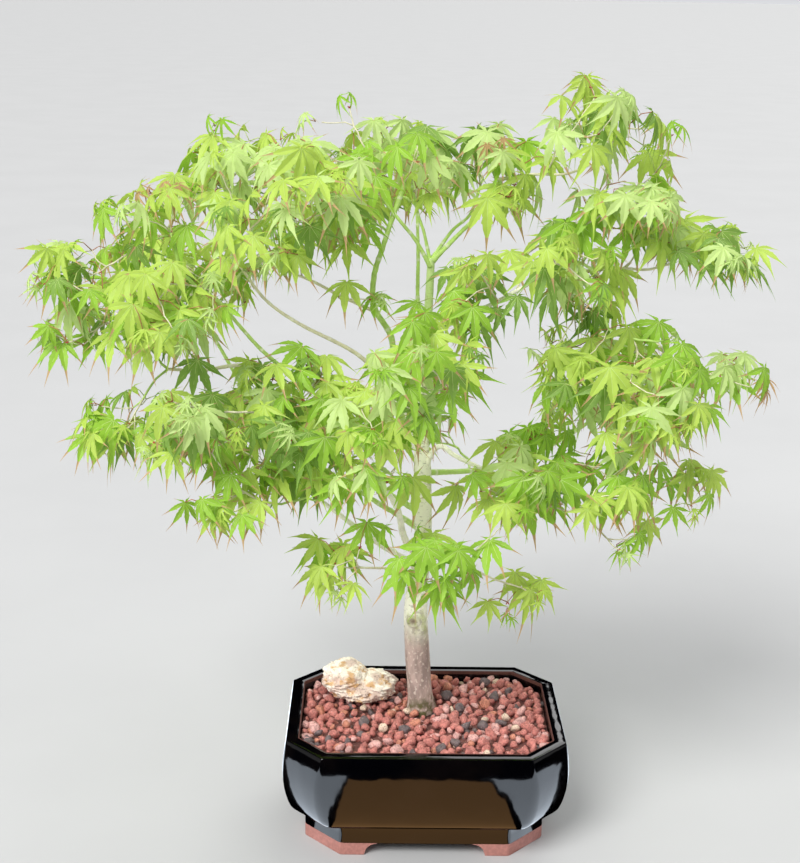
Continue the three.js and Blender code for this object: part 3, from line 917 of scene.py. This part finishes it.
class Wood:
    """The skeleton of the plant: nodes, each grown from an earlier one."""

    ROOM = 60000
    # how a twig chooses its root: dearer for a long way, cheaper straight ahead
    WAY_COST = 1.22
    AHEAD_GAIN = 0.30
    RUN_COST = 0.16

    def __init__(self):
        self.place = np.zeros((self.ROOM, 3))
        self.heading = np.zeros((self.ROOM, 3))
        self.run = np.zeros(self.ROOM)
        self.dearness = np.zeros(self.ROOM)
        self.radius = np.zeros(self.ROOM)
        self.parent = []
        self.count = 0

    def add(self, place, parent, radius=0.0, dearness=0.0):
        k = self.count
        self.place[k] = place
        if parent is not None:
            step = self.place[k] - self.place[parent]
            length = max(np.linalg.norm(step), 1e-9)
            self.heading[k] = step / length
            self.run[k] = self.run[parent] + length
        self.radius[k] = radius
        self.dearness[k] = dearness
        self.parent.append(parent)
        self.count += 1
        return k

    def nearest(self, place):
        gaps = np.linalg.norm(self.place[:self.count] - np.array(place), axis=1)
        return int(gaps.argmin()) if self.count else None

    def best(self, place):
        """The node that a twig to this place would best grow from."""
        steps = np.array(place) - self.place[:self.count]
        gaps = np.linalg.norm(steps, axis=1) + 1e-9
        ahead = (steps * self.heading[:self.count]).sum(1) / gaps
        cost = gaps * (self.WAY_COST - self.AHEAD_GAIN * ahead)
        cost = cost + self.RUN_COST * self.run[:self.count] + self.dearness[:self.count]
        return int(cost.argmin())


class Crown:
    """Every twig, leaf, leaf stalk and bud of the plant, by a seeded branching rule."""

    def __init__(self, leaves, tip):
        self.rng = random.Random(leaves.seed)
        self.leaf_length = leaves.length
        self.spacing = leaves.spacing
        self.tip = tip
        self.union = Body(MASS_NAMES)
        self.wood = Wood()
        self.twigs = []
        self.stalks = []
        self.leaves = []
        self.buds = []
        self.start_limbs()
        goals = self.find_goals()
        self.grow(goals)
        self.thicken()
        self.dress()

    def start_limbs(self):
        for name, (_, radii, course) in {**LIMBS, **SHOOTS}.items():
            places, girths, _ = limb_line(radii, course, 9)
            parent = self.wood.nearest(at(*places[0]))
            dearness = TRUNK_COST if name == "trunk" else 0.0
            for place, girth in zip(places, girths):
                parent = self.wood.add(at(*place), parent, girth * MM, dearness)
        self.limb_nodes = self.wood.count

    def find_goals(self):
        """Leaf-bearing places inside each mass, apart from each other."""
        goals = []
        kept = np.zeros((9000, 3))
        for name in MASS_NAMES:
            body = Body([name])
            size = body.high - body.low
            spacing = self.spacing * (0.86 if min(size) < 0.07 else 1.0)
            floor = min(0.012, 0.2 * min(size))
            for _ in range(1500):
                place = Vector([self.rng.uniform(body.low[k], body.high[k]) for k in range(3)])
                rise = (place.z - body.low.z) / size.z
                if self.rng.random() > 0.3 + 0.9 * rise or body.depth(place) < floor:
                    continue
                if goals and (((kept[:len(goals)] - place) ** 2).sum(1) < spacing ** 2).any():
                    continue
                kept[len(goals)] = place
                goals.append((place, name))
        for spray in SPRAYS:
            for _ in range(3):
                shift = Vector([self.rng.uniform(-SPRAY_REACH, SPRAY_REACH) for _ in range(3)])
                goals.append((at(*spray) + shift * MM, "loose"))
        return goals + [(at(*tip), "tip") for tip in TIPS]

    def grow(self, goals):
        """Joins the goals to the wood, nearest to the limbs first."""
        limbs = self.wood.place[:self.wood.count]

        def away(goal):
            return np.linalg.norm(limbs - np.array(goal[0]), axis=1).min()

        order = sorted(goals, key=away)
        self.nodes = []
        for place, mass in order:
            root = self.wood.best(place)
            start = Vector(self.wood.place[root])
            heading = Vector(self.wood.heading[root])
            step = place - start
            length = step.length
            leave = (heading * 0.55 + step.normalized() + UP * 0.1).normalized() * length * 0.38
            lift = UP * self.rng.uniform(-0.15, 0.45)
            arrive = (step.normalized() + lift).normalized() * length * 0.34
            count = max(2, round(length / 0.009))
            parent = root
            strand = [root]
            for n in range(1, count + 1):
                s = n / count
                spot = ((1 - s) ** 3 * start + 3 * s * (1 - s) ** 2 * (start + leave)
                        + 3 * s * s * (1 - s) * (place - arrive) + s ** 3 * place)
                if n < count:
                    spot += Vector([self.rng.gauss(0, 0.0006) for _ in range(3)])
                parent = self.wood.add(spot, parent)
                strand.append(parent)
            self.twigs.append(strand)
            self.nodes.append((parent, mass))

    def thicken(self):
        """Each fork carries the wood of its branches: radii follow from the tips down."""
        power = FORK_POWER
        load = np.zeros(self.wood.count)
        children = np.zeros(self.wood.count, int)
        for k in range(self.wood.count - 1, self.limb_nodes - 1, -1):
            own = max(load[k], self.tip ** power)
            self.wood.radius[k] = min(own ** (1 / power), TWIG_MOST)
            parent = self.wood.parent[k]
            load[parent] += self.wood.radius[k] ** power
            children[parent] += 1
        self.children = children

    def strands(self):
        """Twig strands as places and radii, by the tone of their bark."""
        made = {"green": [], "tan": []}
        for strand in self.twigs:
            first = strand[1]
            girths = [self.wood.radius[k] for k in strand]
            girths[0] = min(girths[0], self.wood.radius[first] * 1.25)
            tone = "green" if self.wood.radius[first] > TWIG_GREEN else "tan"
            places = [Vector(self.wood.place[k]) for k in strand]
            made[tone].append(list(zip(places, girths)))
        return made

    def tone_of(self, mass, place, young):
        """Bright above, deeper below: painted light and shade; young and topmost leaves may be
        bronze.
        """
        high = (place.z - POT_MIDDLE.z) / MM
        weights = {"lime": 4.0, "green": 3.0, "pale": 1.4, "deep": 1.3, "bronze": 0.0}
        # paler tones high in the crown are painted light, greener and deeper ones low in it painted
        # shade
        if high > HIGH_CROWN:
            weights.update(lime=3.6, green=1.4, pale=3.2, deep=0.6)
        elif high < LOW_CROWN:
            weights.update(lime=3.6, green=4.4, pale=0.5, deep=1.5)
        if young:
            weights["bronze"] = 0.4
            weights["pale"] += 2.2
        tones = list(weights)
        return self.rng.choices(tones, [weights[t] for t in tones])[0]

    def dress(self):
        """Opposite pairs of leaves at each node, younger ones at the tips."""
        for node, mass in self.nodes:
            place = Vector(self.wood.place[node])
            along = Vector(self.wood.heading[node])
            is_tip = self.children[node] == 0
            side = along.cross(UP)
            if side.length < 0.2:
                side = Vector((self.rng.uniform(-1, 1), self.rng.uniform(-1, 1), 0))
            side.normalize()
            side.rotate(Matrix.Rotation(self.rng.uniform(-0.9, 0.9), 3, along))
            tone = self.tone_of(mass, place, False)
            ruddy = self.rng.random() < 0.45
            for sign in (-1, 1):
                if mass != "tip" and self.rng.random() < 0.94:
                    self.hang_leaf(place, along, side * sign, mass, tone, ruddy, False)
            young_share = 0.35 if place.z < POT_MIDDLE.z + LOW_CROWN * MM else 0.7
            if mass == "tip" or (is_tip and self.rng.random() < young_share):
                young_tone = self.tone_of(mass, place, True)
                cross = along.cross(side).normalized()
                ahead = place + along * 0.006
                for sign in (-1, 1):
                    out = cross * sign + along * 1.1
                    self.hang_leaf(ahead, along, out, mass, young_tone, ruddy, True)
            if self.rng.random() < 0.6:
                self.buds.append((place, along, self.rng.uniform(0.8, 1.3)))

    def hang_leaf(self, place, along, side, mass, tone, ruddy, young):
        """Tries several ways to hold a leaf and keeps the one that stays best in the crown."""
        rng = self.rng
        best = None
        for _ in range(LEAF_TRIES):
            aim = (along * 0.35 + side * 0.8 + UP * 0.3
                   + Vector([rng.gauss(0, 0.22) for _ in range(3)])).normalized()
            stalk = rng.uniform(0.008, 0.016) if young else rng.uniform(0.014, 0.030)
            base = place + aim * stalk
            away = base - POT_MIDDLE
            away.z = 0
            facing = Vector((0, -1, 0)) if away.y < 0.045 else Vector((0, 1, 0))
            flat = (away.normalized() * 0.5 + facing * 0.75 + aim * 0.35
                    + Vector((rng.gauss(0, 0.4), rng.gauss(0, 0.4), 0)))
            flat.z = 0
            flat.normalize()
            dip = math.radians(rng.uniform(15, 70))
            axis = flat * math.cos(dip) - UP * math.sin(dip)
            normal = flat * math.sin(dip) + UP * math.cos(dip)
            roll = Matrix.Rotation(rng.gauss(0, 0.35), 3, axis)
            normal.rotate(roll)
            across = axis.cross(normal)
            growth = rng.uniform(0.42, 0.62) if young else rng.uniform(0.86, 1.18)
            length = self.leaf_length * growth
            ends = (base + axis * length, base + (axis * 0.3 + across * 0.8) * length,
                    base + (axis * 0.3 - across * 0.8) * length)
            outside = 0.0 if mass in ("loose", "tip") else sum(
                max(0.0, -SHY - self.union.depth(end)) for end in ends)
            if best is None or outside < best[0]:
                best = (outside, base, axis, normal, across, length)
            if outside <= 0:
                break
        outside, base, axis, normal, across, length = best
        low = (base - POT_MIDDLE) / MM
        if outside > FAR_OUT or (low.z < BARE_TRUNK and abs(low.x + 10) < 34):
            return
        if outside > 0.010:
            length *= 0.8
        turn = Matrix((across, axis, normal)).transposed() * length
        rise = UP * (base - place).length * 0.16
        middle = (place + base) / 2 + rise
        thick = (0.36 if young else 0.46) * MM
        self.stalks.append((ruddy, [(place, thick * 1.3), (middle, thick), (base, thick)]))
        self.leaves.append((tone, young, turn, base))


# the lobes of a leaf: angle from the middle lobe, length, width
LOBES = ((0, 1.0, 1.0), (36, 0.95, 1.0), (74, 0.78, 0.9), (120, 0.38, 0.6))
# how far along a lobe, and its half width there; teeth stick out where it widens
MARGIN = ((0.34, 0.100), (0.43, 0.122), (0.455, 0.102), (0.58, 0.134), (0.605, 0.104),
          (0.70, 0.092), (0.84, 0.040))
SMALL_MARGIN = ((0.52, 0.12), (0.55, 0.09), (0.80, 0.045))
SINUS = 0.27                  # how far out the notches between lobes lie
WAIST = (0.97, 0.020)         # where a lobe's tail narrows, and its half width there
TAIL = 1.20                   # how far out a lobe's tail ends
GROWN_FORMS = 8
YOUNG_FORMS = 4
TIPPED_SHARE = 0.62           # leaves with bronze tails


class LeafForm:
    """One leaf of lobes round its stalk's end: its blade, the tails of its lobes, its ribs."""

    def __init__(self, rng, narrow, fold, droop):
        self.fold = fold
        self.droop = droop
        self.blade = bmesh.new()
        self.tails = bmesh.new()
        self.ribs = bmesh.new()
        angles = [(-a, n, w) for a, n, w in reversed(LOBES[1:])] + list(LOBES)
        lobes = [(math.radians(a + rng.uniform(-3, 3)), n * rng.uniform(0.93, 1.05), w * narrow,
                  rng.uniform(-0.16, 0.16)) for a, n, w in angles]
        middle = self.blade.verts.new((0, 0, 0))
        notches = [self.notch(lobes[0][0] - math.radians(30), 0.10)]
        for (a, n, _, _), (b, m, _, _) in zip(lobes, lobes[1:]):
            notches.append(self.notch((a + b) / 2, SINUS * min(n, m) * rng.uniform(0.86, 1.05)))
        notches.append(self.notch(lobes[-1][0] + math.radians(30), 0.10))
        for k, lobe in enumerate(lobes):
            self.add_lobe(lobe, middle, notches[k], notches[k + 1])

    def bend(self, x, y, edge):
        """Height of a point of the leaf: it droops outwards and folds up beside each rib."""
        out = math.hypot(x, y)
        return -self.droop * out ** 1.7 + self.fold * edge

    def notch(self, angle, radius):
        x, y = math.sin(angle) * radius, math.cos(angle) * radius
        return self.blade.verts.new((x, y, self.bend(x, y, 0.05)))

    def spot(self, lobe, along, across):
        angle, length, _, sweep = lobe
        u = along * length
        v = across * length + sweep * max(0.0, along - 0.3) ** 2 * length
        x = math.sin(angle) * u + math.cos(angle) * v
        y = math.cos(angle) * u - math.sin(angle) * v
        return Vector((x, y, self.bend(x, y, abs(across) * length)))

    def add_lobe(self, lobe, middle, right, left):
        blade = self.blade
        small = lobe[1] < 0.55
        margin = SMALL_MARGIN if small else MARGIN
        width = lobe[2]
        mid = blade.verts.new(self.spot(lobe, SINUS, 0))
        blade.faces.new((middle, right, mid))
        blade.faces.new((middle, mid, left))
        sides = (right, mid, left)
        for along, half in margin:
            half *= width
            fresh = (blade.verts.new(self.spot(lobe, along - 0.02, -half)),
                     blade.verts.new(self.spot(lobe, along, 0)),
                     blade.verts.new(self.spot(lobe, along - 0.02, half)))
            blade.faces.new((sides[0], fresh[0], fresh[1], sides[1]))
            blade.faces.new((sides[1], fresh[1], fresh[2], sides[2]))
            sides = fresh
        tail = [self.tails.verts.new(vert.co) for vert in sides]
        waist = [self.tails.verts.new(self.spot(lobe, WAIST[0], side * WAIST[1] * width))
                 for side in (-1, 0, 1)]
        point = self.tails.verts.new(self.spot(lobe, TAIL, 0))
        self.tails.faces.new((tail[0], waist[0], waist[1], tail[1]))
        self.tails.faces.new((tail[1], waist[1], waist[2], tail[2]))
        self.tails.faces.new((waist[0], point, waist[1]))
        self.tails.faces.new((waist[1], point, waist[2]))
        if not small:
            lift = Vector((0, 0, 0.008))
            rib = []
            for along, half in ((0.03, 0.007), (SINUS, 0.006), (0.62, 0.004)):
                rib.append([self.ribs.verts.new(self.spot(lobe, along, side * half) + lift)
                            for side in (-1, 1)])
            for a, b in zip(rib, rib[1:]):
                self.ribs.faces.new((a[0], b[0], b[1], a[1]))

    def shapes(self):
        return Shape(self.blade), Shape(self.tails), Shape(self.ribs)


# ---- the stage ----
# cards that only show as reflections in the glaze: colour, and two corners in millimetres
SKY_CARD = shade(224, 236, 250)
WOOD_CARD = shade(170, 128, 84)
CARDS = (("card_front_right", SKY_CARD, (112, -480), (560, -62)),
         ("card_front_left", SKY_CARD, (-560, -480), (-112, -62)),
         ("card_back_right", SKY_CARD, (112, 62), (560, 480)),
         ("card_back_left", SKY_CARD, (-560, 62), (-112, 480)),
         ("card_front", WOOD_CARD, (-104, -420), (104, -100)),
         ("card_back", WOOD_CARD, (-104, 100), (104, 420)))
CARD_LIGHT = 3.0
CARD_DROP = 2                 # how far under the floor the cards lie, in millimetres

# places in millimetres; strengths in watts, or for a sun in watts to the square metre
AIM = (-10, 0, 430)
BOX_SIZE = 0.9
BOXES = (("left_box", (-1300, -250, 420), 0.9), ("right_box", (1350, -350, 450), 0.9))
SUNS = (("key_sun", (-1100, -1500, 2300), 3.4, 30), ("rim_sun", (700, 1500, 1900), 1.0, 40))
FLOOR_RADIUS = 90
EYE = (-57.6, -1547.9, 918.1)
LENS = 63.05
PITCH, YAW, ROLL = (math.radians(angle) for angle in (16.615, -0.889, 1.021))


def add_stage(name, bm, finish):
    mesh = bpy.data.meshes.new(name)
    bm.to_mesh(mesh)
    bm.free()
    mesh.materials.append(finish)
    thing = bpy.data.objects.new(name, mesh)
    bpy.context.scene.collection.objects.link(thing)
    return thing


def add_card(name, colour, low, high):
    """A flat card just under the floor that only the glaze's reflections see."""
    bm = bmesh.new()
    corners = ((low[0], low[1]), (high[0], low[1]), (high[0], high[1]), (low[0], high[1]))
    bm.faces.new([bm.verts.new(at(x, y, -CARD_DROP)) for x, y in corners])
    finish = Finish(name)
    glow = finish.node("ShaderNodeEmission", {}, {"Color": colour, "Strength": CARD_LIGHT})
    card = add_stage(name, bm, finish.done(glow.outputs[0]))
    card.visible_camera = False
    card.visible_diffuse = False
    card.visible_shadow = False
    card.visible_transmission = False


def add_lamp(name, kind, place, watts):
    """A lamp at a place, turned towards the plant."""
    lamp = bpy.data.lights.new(name, kind)
    lamp.energy = watts
    body = bpy.data.objects.new(name, lamp)
    body.location = at(*place)
    body.rotation_euler = (at(*AIM) - body.location).to_track_quat("-Z", "Y").to_euler()
    bpy.context.scene.collection.objects.link(body)
    return lamp


def add_camera():
    eye = bpy.data.cameras.new("camera")
    eye.lens = LENS
    eye.sensor_width = 36
    eye.clip_end = 400
    level = math.cos(PITCH)
    ahead = Vector((-math.sin(YAW) * level, math.cos(YAW) * level, -math.sin(PITCH)))
    right = Vector((math.cos(YAW), math.sin(YAW), 0))
    over = right.cross(ahead)
    right, over = (right * math.cos(ROLL) + over * math.sin(ROLL),
                   over * math.cos(ROLL) - right * math.sin(ROLL))
    camera = bpy.data.objects.new("camera", eye)
    turn = Matrix((right, over, -ahead)).transposed().to_4x4()
    camera.matrix_world = Matrix.Translation(at(*EYE)) @ turn
    bpy.context.scene.collection.objects.link(camera)
    bpy.context.scene.camera = camera


CROWN = {}


def grown_crown(context):
    """The crown is grown once and shared by the operators that dress the plant."""
    if "crown" not in CROWN:
        CROWN["crown"] = Crown(context.scene.maple_leaves, context.scene.maple_wood.tip)
    return CROWN["crown"]


# ---- operators ----
class MAPLE_OT_stage(bpy.types.Operator):
    """Add the pale floor, the soft lights and the camera"""
    bl_idname = "maple.stage"
    bl_label = "Stage"

    def execute(self, context):
        settings = context.scene.maple_stage
        bm = bmesh.new()
        bmesh.ops.create_circle(bm, cap_ends=True, segments=96, radius=FLOOR_RADIUS,
                                matrix=Matrix.Translation((0, 0, POT_LOW.z)))
        floor = add_stage("floor", bm, floor_finish(settings.floor))
        floor.visible_glossy = False

        world = bpy.data.worlds.new("soft_air")
        world.use_nodes = True
        air = world.node_tree.nodes["Background"]
        air.inputs["Color"].default_value = shade(240, 242, 246)
        air.inputs["Strength"].default_value = settings.air
        world.cycles_visibility.glossy = False
        context.scene.world = world
        context.scene.view_settings.view_transform = "Standard"

        for name, place, watts in BOXES:
            lamp = add_lamp(name, "AREA", place, watts)
            lamp.shape = "SQUARE"
            lamp.size = BOX_SIZE
        for name, place, watts, spread in SUNS:
            add_lamp(name, "SUN", place, watts).angle = math.radians(spread)
        for card in CARDS:
            add_card(*card)
        add_camera()
        return {"FINISHED"}


class MAPLE_OT_pot(bpy.types.Operator):
    """Add the glazed pot, its bare clay feet and the bare line inside its rim"""
    bl_idname = "maple.pot"
    bl_label = "Pot"

    def execute(self, context):
        settings = context.scene.maple_pot
        body = add_piece("pot_body", pot_body(), glaze_finish(settings.glaze),
                         ("pot",), True)
        body.data.set_sharp_from_angle(angle=math.radians(40))
        clay = clay_finish("bare_clay", settings.clay)
        lip = add_piece("pot_lip", pot_lip(settings.lip), clay_finish("lip_clay", shade(96, 58, 50)),
                        smooth=True)
        lip.data.set_sharp_from_angle(angle=math.radians(50))
        feet = add_piece("pot_feet", pot_feet(), clay, smooth=True)
        feet.data.set_sharp_from_angle(angle=math.radians(35))
        return {"FINISHED"}


class MAPLE_OT_gravel(bpy.types.Operator):
    """Add the bed of lava gravel, grain by grain"""
    bl_idname = "maple.gravel"
    bl_label = "Gravel"

    def execute(self, context):
        settings = context.scene.maple_gravel
        rng = random.Random(5)
        # the bed under the grains is the red darkened to 0.3: painted shade in the gaps between
        # grains
        add_piece("gravel_bed", gravel_bed(), lava_finish("lava_bed", darker(settings.red, 0.3)),
                  ("soil",))
        shapes = grain_shapes(rng, GRAIN_SHAPES)
        trunk_x, trunk_y = LIMBS["trunk"][2][0][:2]

        def clear_of_trunk(x, y):
            return math.hypot(x - trunk_x, y - trunk_y) > TRUNK_ROOM

        grains = {tone: [] for tone in GRAIN_TONES}
        for spacing, lift in GRAIN_LAYERS:
            for x, y in scatter(rng, 9000, spacing, 5.2, clear_of_trunk):
                size = settings.grain * rng.uniform(0.62, 1.34)
                squash = Matrix.Diagonal((1, rng.uniform(0.6, 0.92), rng.uniform(0.58, 0.85))) * size
                turn = Matrix.Rotation(rng.uniform(0, math.tau), 3, "Z")
                turn @= (Matrix.Rotation(rng.gauss(0, GRAIN_TUMBLE), 3, "X")
                         @ Matrix.Rotation(rng.gauss(0, GRAIN_TUMBLE), 3, "Y"))
                place = at(x, y, SOIL_Z + lift + rng.uniform(-0.8, 1.2))
                tone = rng.choices(list(GRAIN_TONES), list(GRAIN_TONES.values()))[0]
                grains[tone].append((rng.choice(shapes), turn @ squash, place))
        for tone, placings in grains.items():
            add_piece("gravel_" + tone, repeated("gravel_" + tone, placings),
                      lava_finish("lava_" + tone, getattr(settings, tone)),
                      smooth=True)
        return {"FINISHED"}


class MAPLE_OT_stone(bpy.types.Operator):
    """Add the pale stone that lies on the gravel"""
    bl_idname = "maple.stone"
    bl_label = "Stone"

    def execute(self, context):
        settings = context.scene.maple_stone
        finish = stone_finish(settings.pale, settings.pink, settings.ochre)
        add_piece("pale_rock", rock(), finish, ("stone",), True)
        return {"FINISHED"}


class MAPLE_OT_wood(bpy.types.Operator):
    """Add the trunk and the boughs with their bark"""
    bl_idname = "maple.wood"
    bl_label = "Trunk and boughs"

    def execute(self, context):
        settings = context.scene.maple_wood
        rng = random.Random(17)
        bark = trunk_finish(settings.old, settings.cream, settings.green)
        add_piece("trunk_bark", trunk_piece(settings), bark, ("trunk",), True)
        finishes = {tone: bough_finish("bark_" + tone, getattr(settings, tone))
                    for tone in ("cream", "green", "tan")}
        for name, (tone, radii, course) in LIMBS.items():
            if name != "trunk":
                add_piece(name + "_bark", bough_piece(name, radii, course, rng), finishes[tone],
                          (name,), True)
        for name, (tone, radii, course) in SHOOTS.items():
            add_piece(name, bough_piece(name, radii, course, rng), finishes[tone],
                      smooth=True)
        return {"FINISHED"}


class MAPLE_OT_twigs(bpy.types.Operator):
    """Add the twigs that grow on from the boughs, with their buds"""
    bl_idname = "maple.twigs"
    bl_label = "Twigs and buds"

    def execute(self, context):
        settings = context.scene.maple_wood
        crown = grown_crown(context)
        for tone, strands in crown.strands().items():
            add_piece("twigs_" + tone, tube_bmesh("twigs", strands, 1),
                      stem_finish("twig_" + tone, getattr(settings, tone)), smooth=True)
        bm = bmesh.new()
        bmesh.ops.create_icosphere(bm, subdivisions=1, radius=1.0)
        bud = Shape(bm)
        placings = []
        for place, along, size in crown.buds:
            frame_of = along.to_track_quat("Z", "Y").to_matrix()
            for side in (-1, 1):
                turn = frame_of @ Matrix.Rotation(side * 0.6, 3, "Y")
                spot = place + turn @ Vector((0, 0, 1.4 * MM * size))
                placings.append((bud, turn @ Matrix.Diagonal((0.62, 0.62, 1.5)) * (MM * size), spot))
        add_piece("buds", repeated("buds", placings), stem_finish("bud_red", shade(176, 70, 62)),
                  smooth=True)
        return {"FINISHED"}


class MAPLE_OT_stalks(bpy.types.Operator):
    """Add the stalks that hold the leaves"""
    bl_idname = "maple.stalks"
    bl_label = "Leaf stalks"

    def execute(self, context):
        crown = grown_crown(context)
        for ruddy, name, colour in ((True, "stalks_red", shade(188, 122, 88)),
                                    (False, "stalks_green", shade(184, 200, 118))):
            strands = [strand for red, strand in crown.stalks if red == ruddy]
            add_piece(name, tube_bmesh(name, strands, 0), stem_finish(name, colour),
                      smooth=True)
        return {"FINISHED"}


class MAPLE_OT_leaves(bpy.types.Operator):
    """Add the lobed leaves in their sprays"""
    bl_idname = "maple.leaves"
    bl_label = "Leaves"

    def execute(self, context):
        settings = context.scene.maple_leaves
        crown = grown_crown(context)
        rng = random.Random(23)
        grown = []
        for _ in range(GROWN_FORMS):
            narrow, fold, droop = rng.uniform(0.9, 1.12), rng.uniform(0.3, 0.6), rng.uniform(0.3, 0.7)
            grown.append(LeafForm(rng, narrow, fold, droop).shapes())
        young = [LeafForm(rng, 0.62, 0.9, rng.uniform(0.5, 0.8)).shapes() for _ in range(YOUNG_FORMS)]
        # the deep tone is painted shade
        tones = ("lime", "green", "pale", "deep", "bronze")
        blades = {tone: [] for tone in tones}
        ribs = []
        for tone, is_young, turn, base in crown.leaves:
            blade, tails, rib = rng.choice(young if is_young else grown)
            blades[tone].append((blade, turn, base))
            tipped = "bronze" if tone != "deep" and rng.random() < TIPPED_SHARE else tone
            blades[tipped].append((tails, turn, base))
            if not is_young:
                ribs.append((rib, turn, base))
        shares = {tone: [] for tone in tones}
        for k, name in enumerate(MASS_NAMES):
            shares[tones[k % 4]].append(name)
        for tone in tones:
            add_piece("leaves_" + tone, repeated("leaves_" + tone, blades[tone]),
                      leaf_finish("leaf_" + tone, getattr(settings, tone), settings.glow),
                      shares[tone])
        add_piece("leaf_ribs", repeated("leaf_ribs", ribs),
                  leaf_finish("leaf_rib", settings.rib, settings.glow))
        return {"FINISHED"}


class MAPLE_PT_panel(bpy.types.Panel):
    """Lists the settings and the steps that build the plant"""
    bl_idname = "MAPLE_PT_panel"
    bl_label = "Potted Bonsai Maple"
    bl_space_type = "VIEW_3D"
    bl_region_type = "UI"
    bl_category = "Maple"

    def draw(self, context):
        for operator in OPERATORS:
            self.layout.operator(operator.bl_idname)
        for name, group in SETTINGS.items():
            box = self.layout.box()
            for key in group.__annotations__:
                box.prop(getattr(context.scene, name), key)


SETTINGS = {
    "maple_stage": MapleStageSettings,
    "maple_pot": MaplePotSettings,
    "maple_gravel": MapleGravelSettings,
    "maple_stone": MapleStoneSettings,
    "maple_wood": MapleWoodSettings,
    "maple_leaves": MapleLeafSettings,
}
OPERATORS = (MAPLE_OT_stage, MAPLE_OT_pot, MAPLE_OT_gravel, MAPLE_OT_stone, MAPLE_OT_wood,
             MAPLE_OT_twigs, MAPLE_OT_stalks, MAPLE_OT_leaves)


def register():
    for group in SETTINGS.values():
        bpy.utils.register_class(group)
    for name, group in SETTINGS.items():
        setattr(bpy.types.Scene, name, PointerProperty(type=group))
    for operator in OPERATORS:
        bpy.utils.register_class(operator)
    bpy.utils.register_class(MAPLE_PT_panel)


def unregister():
    bpy.utils.unregister_class(MAPLE_PT_panel)
    for operator in reversed(OPERATORS):
        bpy.utils.unregister_class(operator)
    for name, group in SETTINGS.items():
        delattr(bpy.types.Scene, name)
        bpy.utils.unregister_class(group)


def main():
    register()
    bpy.ops.maple.stage()
    bpy.ops.maple.pot()
    bpy.ops.maple.gravel()
    bpy.ops.maple.stone()
    bpy.ops.maple.wood()
    bpy.ops.maple.twigs()
    bpy.ops.maple.stalks()
    bpy.ops.maple.leaves()


if __name__ == "__main__":
    main()
